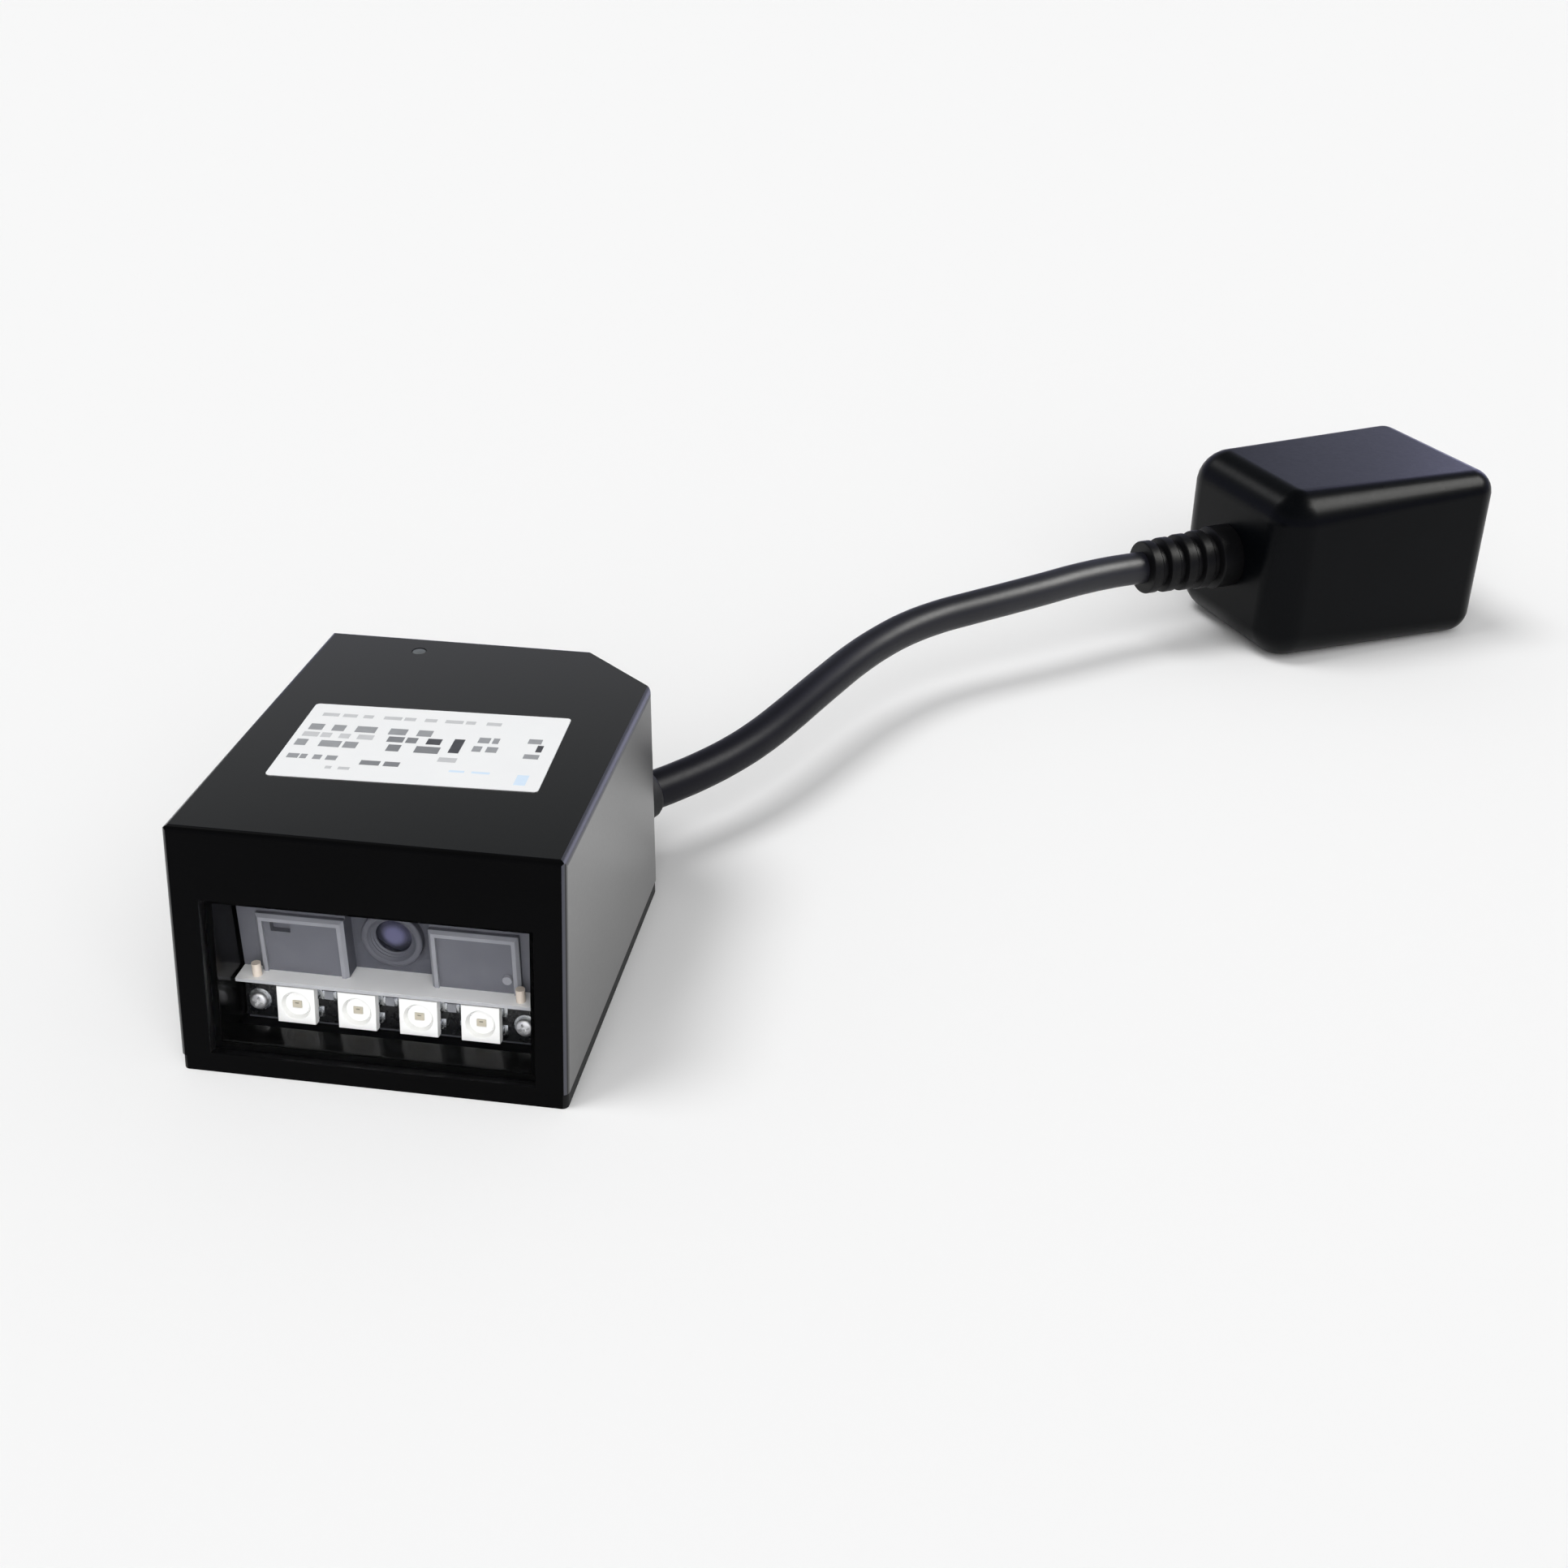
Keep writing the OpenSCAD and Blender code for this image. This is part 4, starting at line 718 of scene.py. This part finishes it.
# strain relief: ribs with rounded crests, thicker towards the hood
hood = {"face": (110.006, 126.01, 16.0), "turn": 30.0, "length": 46.0, "socketIn": 5.8, "smooth": 40}
hoodFrame = at(*hood["face"]) @ Matrix.Rotation(math.radians(hood["turn"]), 4, "Z")
relief = {
    "length": 18.0, "tip": 4.8, "root": 5.75, "ribs": 4, "groove": 0.9, "collar": 4.0,
    "spigot": (4.5, 3.0),      # radius and length of the end that is held in the hood
}
tip, root, long = relief["tip"], relief["root"], relief["length"]
pitch = (long - relief["collar"]) / relief["ribs"]
profile = [(0, 0), (tip - 0.35, 0), (tip - 0.1, 0.1)]
for i in range(relief["ribs"]):
    x = i * pitch
    crest = tip + (root - tip) * x / long
    if i > 0:
        profile += [(crest - 0.45, x - 0.08), (crest - 0.12, x + 0.02)]
    profile += [
        (crest, x + 0.3), (crest, x + pitch * 0.5), (crest - 0.15, x + pitch * 0.56),
        (crest - 0.7, x + pitch * 0.62), (crest - relief["groove"], x + pitch * 0.68),
        (crest - relief["groove"], x + pitch * 0.92)]
collar = long - relief["collar"]
spigot, inHood = relief["spigot"]
profile += [(root - 0.4, collar - 0.05), (root - 0.1, collar + 0.1), (root, collar + 0.4), (root, long),
            (spigot, long), (spigot, long + inHood), (0, long + inHood)]
bm = bmesh.new()
turnedInto(bm, profile, hoodFrame @ at(-long, 0, 0) @ quarter("Y"), segments=48)
addPiece("relief_ribs", bm, [reliefPvc], ["strain_relief"])

# hood: the smooth overmoulding
bm = mergedCopy("connector_hood")
addPiece("hood_shell", bm, [hoodPvc], ["connector_hood"], hood["smooth"])

# nine-way socket: pressed shell, insulator, contacts and jack nuts
socket = {"shellSoft": 0.1, "blockSoft": 0.08}
bm = mergedCopy("socket_shell")
softenEdges(bm, socket["shellSoft"])
addPiece("socket_skirt", bm, [socketTin], ["socket_shell"])
bm = mergedCopy("socket_insulator")
softenEdges(bm, socket["blockSoft"])
addPiece("socket_block", bm, [insulatorPbt], ["socket_insulator"])
socketFrame = hoodFrame @ at(hood["length"] - hood["socketIn"], 0, 0) @ quarter("Z") @ quarter("X")
contact = {
    "pitch": 2.77, "rows": 2.84,
    "sleeve": [
        (0, 0), (0.5, 0), (0.5, 5.1), (0.62, 5.28), (0.68, 5.3), (0.75, 5.2), (0.75, -4.0), (0.6, -4.3),
        (0.6, -8.8), (0.5, -9.0), (0, -9.0)],
}
places = [(i, 0.5) for i in (-2, -1, 0, 1, 2)] + [(i, -0.5) for i in (-1.5, -0.5, 0.5, 1.5)]
bm = bmesh.new()
for i, row in places:
    spot = socketFrame @ at(i * contact["pitch"], row * contact["rows"], 0)
    turnedInto(bm, contact["sleeve"], spot, segments=20)
addPiece("socket_sleeves", bm, [contactGold], ["socket_contacts"])
jack = {
    "spacing": 25.0, "flats": 4.75, "length": 4.6, "bore": 1.2, "stem": 1.45, "stemLength": 6.0,
    "pitch": 0.64, "turns": 6,
}
flat, long, stem, deep = jack["flats"] / 2, jack["length"], jack["stem"], jack["stemLength"]
thread = threadRows(jack["bore"], long - 0.3, -jack["pitch"], jack["turns"])
nut = [(0, -0.3), (jack["bore"] * 0.9, -0.3)] + thread[::-1] + [
    (jack["bore"] + 0.1, long), (2.1, long), (flat - 0.02, long - 0.25, "hex"), (flat, long - 0.4, "hex"),
    (flat, 0, "hex"), (stem, 0), (stem, 0.3 - deep), (1.2, -deep), (0, -deep)]
bm = bmesh.new()
for side in (-1, 1):
    turnedInto(bm, nut, socketFrame @ at(side * jack["spacing"] / 2, 0, 0), segments=48)
addPiece("jack_posts", bm, [screwSteel], ["jack_nuts"])
print("connector made")


# countersunk screws with a cross recess, seen from below
sunk = {"head": 1.9, "headHeight": 1.0, "shank": 1.0, "raised": 0.1}


def sunkScrew(bm, x, y, length):
    head, deep, shank = sunk["head"], sunk["headHeight"], sunk["shank"]
    turnedInto(bm, [
        (0, 0.62 * deep), (head * 0.34, 0.6 * deep, "cross"), (head * 0.55, 0, "cross"), (head * 0.66, 0),
        (head - 0.08, 0), (head, 0.08), (shank, deep), (shank, length - 0.4), (shank * 0.6, length),
        (0, length)],
        at(x, y, sunk["raised"]))


cover = {"x": 21.2, "front": -13.2, "back": 27.2, "cut": 15.7, "length": 8.0}
bm = bmesh.new()
for x, y in ((-1, "front"), (1, "front"), (-1, "back"), (1, "cut")):
    sunkScrew(bm, x * cover["x"], cover[y], cover["length"])
addPiece("base_screws", bm, [screwSteel], ["cover_screws"])
engine = {"length": 6.0}
engineLow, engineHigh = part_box("engine_screws")
engineX, engineY = engineHigh.x / mm - sunk["head"], (engineLow.y + engineHigh.y) / 2 / mm
bm = bmesh.new()
for side in (-1, 1):
    sunkScrew(bm, side * engineX, engineY, engine["length"])
addPiece("chassis_screws", bm, [screwSteel], ["engine_screws"])

# threaded inserts with a groove round the middle
insert = {
    "spacing": 26.0, "y": 8.0, "up": 0.1, "bore": 1.25, "mouth": 1.45, "pitch": 0.5, "turns": 9,
    "outside": [
        (1.25, 5.0), (1.9, 5.0), (2.0, 4.9), (2.0, 3.2), (1.8, 3.0), (1.8, 2.4), (2.0, 2.2), (2.0, 0.1),
        (1.9, 0), (1.45, 0)],
}
thread = threadRows(insert["bore"], 0.35, insert["pitch"], insert["turns"])
bm = bmesh.new()
for side in (-1, 1):
    turnedInto(bm, [(insert["mouth"], 0)] + thread + insert["outside"],
               at(side * insert["spacing"] / 2, insert["y"], insert["up"]), segments=40)
addPiece("thread_inserts", bm, [insertBrass], ["mount_inserts"])
print("fasteners made")


# the pieces inside keep their own solids
inside = {
    "window_seal": sealFoam, "sensor_board": boardGreen, "line_sensor": chipEpoxy,
    "sensor_screws": screwSteel, "decoder_board": boardGreen, "decoder_chip": chipEpoxy,
    "memory_chip": chipEpoxy, "board_screws": screwSteel, "beeper": chipEpoxy, "status_led": lampWhite,
    "flex_sockets": nylonWhite, "flex_cable": flexFilm, "cable_header": nylonWhite,
    "header_plug": nylonWhite, "cable_wires": wirePvc,
}
for node, mat in inside.items():
    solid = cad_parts[node]
    if not solid.data.materials:
        solid.data.materials.append(mat)
    for place in solid.material_slots:
        place.material = mat

# stage: a pale floor, a soft lamp from the upper left, a broad fill from the viewer's side, and panels
# that only the gloss shows
stage = {
    "floor": "#f5f5f5",
    "backdrop": "#f9f9f9",
    "size": 8.0,
    "below": 0.02,     # mm that the floor lies under the object
    "keyFrom": (-0.46, -0.1, 1.0), "keyShare": 0.36, "keyAngle": 26.0,
    "fillFrom": (0.25, -0.9, 0.65), "fillShare": 0.54, "fillAngle": 70.0,
    "sky": 0.36,
    # what the gloss mirrors, from the ground up: height of the view upwards, colour
    "room": [(0.0, "#a8aac8"), (0.33, "#a5a8c6"), (0.38, "#b8b9b9"), (0.52, "#6b6e6e"), (1.0, "#5b5d5d")],
    # panels that show in the gloss alone: place, width, height, glow, colour
    "panels": [
        ((0.76, 0.14, 0.69), 0.48, 0.48, 16.0, "#fffefa"),     # streaks on hood and cable
        ((0.53, 1.0, 0.36), 0.4, 0.72, 2.1, "#c4c4f4"),        # cool line on the roof's edge, hood's top
        ((0.32, 1.0, 0.3), 0.24, 0.5, 0.55, "#d6d9f6"),        # cool sheen on the hood's top
        ((-1.9, 1.5, 1.9), 0.9, 0.9, 4.0, "#ffffff")],         # line on the hood's left rounding
    "aim": (0.12, 0.12, 0.03),
}
bm = bmesh.new()
bmesh.ops.create_grid(bm, x_segments=1, y_segments=1, size=stage["size"] / 2)
bmesh.ops.translate(bm, verts=bm.verts, vec=(0, 0, -stage["below"] * mm))
mesh = bpy.data.meshes.new("floor")
bm.to_mesh(mesh)
bm.free()
floor = bpy.data.objects.new("floor", mesh)
bpy.context.scene.collection.objects.link(floor)
# pale paper without any shine, so that it takes the soft shadows only
floorPaper = startMaterial("pale paper", Base_Color=linear(stage["floor"]), Roughness=0.9,
                           Specular_IOR_Level=0.0)[0]
mesh.materials.append(floorPaper)


def addSun(name, toward, share, angle, slanted):
    sun = bpy.data.lights.new(name, "SUN")
    direction = Vector(toward).normalized()
    # a share of the light on the floor if it is slanted, or else on what faces the lamp
    sun.energy = share * math.pi / (direction.z if slanted else 1.0)
    sun.angle = math.radians(angle)
    lampObject = bpy.data.objects.new(name, sun)
    lampObject.matrix_world = direction.to_track_quat("Z", "Y").to_matrix().to_4x4()
    lampObject.visible_glossy = False      # the gloss mirrors the room and the panels alone
    bpy.context.scene.collection.objects.link(lampObject)


def addPanel(name, place, width, height, glow, color):
    panel = bpy.data.lights.new(name, "AREA")
    panel.shape = "RECTANGLE"
    panel.size = width
    panel.size_y = height
    panel.color = linear(color)[:3]
    panel.energy = glow * math.pi * width * height      # watts that make the panel itself that bright
    lampObject = bpy.data.objects.new(name, panel)
    direction = Vector(place) - Vector(stage["aim"])
    turned = direction.to_track_quat("Z", "Y").to_matrix().to_4x4()
    lampObject.matrix_world = Matrix.Translation(place) @ turned
    lampObject.visible_diffuse = False
    bpy.context.scene.collection.objects.link(lampObject)


for i, panel in enumerate(stage["panels"]):
    addPanel("panel" + str(i), *panel)
addSun("keyLamp", stage["keyFrom"], stage["keyShare"], stage["keyAngle"], True)
addSun("fillLamp", stage["fillFrom"], stage["fillShare"], stage["fillAngle"], False)
world = bpy.data.worlds.new("studio")
world.use_nodes = True
bpy.context.scene.world = world
tree = world.node_tree
tree.nodes.clear()
ray = addNode(tree, "ShaderNodeLightPath")
# the gloss mirrors a room that is cooler near the ground, which gives the hood and the cable their cold sheen
toward = addNode(tree, "ShaderNodeTexCoord").outputs["Generated"]
height = addNode(tree, "ShaderNodeSeparateXYZ", {"Vector": toward}).outputs["Z"]
room = addNode(tree, "ShaderNodeValToRGB", {"Fac": height})
stops = room.color_ramp.elements
while len(stops) < len(stage["room"]):
    stops.new(0.5)
for stop, (place, color) in zip(stops, stage["room"]):
    stop.position = place
    stop.color = linear(color)
light = addNode(tree, "ShaderNodeBackground", {"Color": (1, 1, 1, 1), "Strength": stage["sky"]})
mirrored = addNode(tree, "ShaderNodeBackground", {"Color": room.outputs["Color"], "Strength": 1.0})
backdrop = addNode(tree, "ShaderNodeBackground", {"Color": linear(stage["backdrop"]), "Strength": 1.0})
sky = addNode(tree, "ShaderNodeMixShader", {
    0: ray.outputs["Is Glossy Ray"], 1: light.outputs[0], 2: mirrored.outputs[0]})
seen = addNode(tree, "ShaderNodeMixShader", {
    0: ray.outputs["Is Camera Ray"], 1: sky.outputs[0], 2: backdrop.outputs[0]})
addNode(tree, "ShaderNodeOutputWorld", {"Surface": seen.outputs[0]})
bpy.context.scene.view_settings.view_transform = "Standard"
print("stage and lamps set")
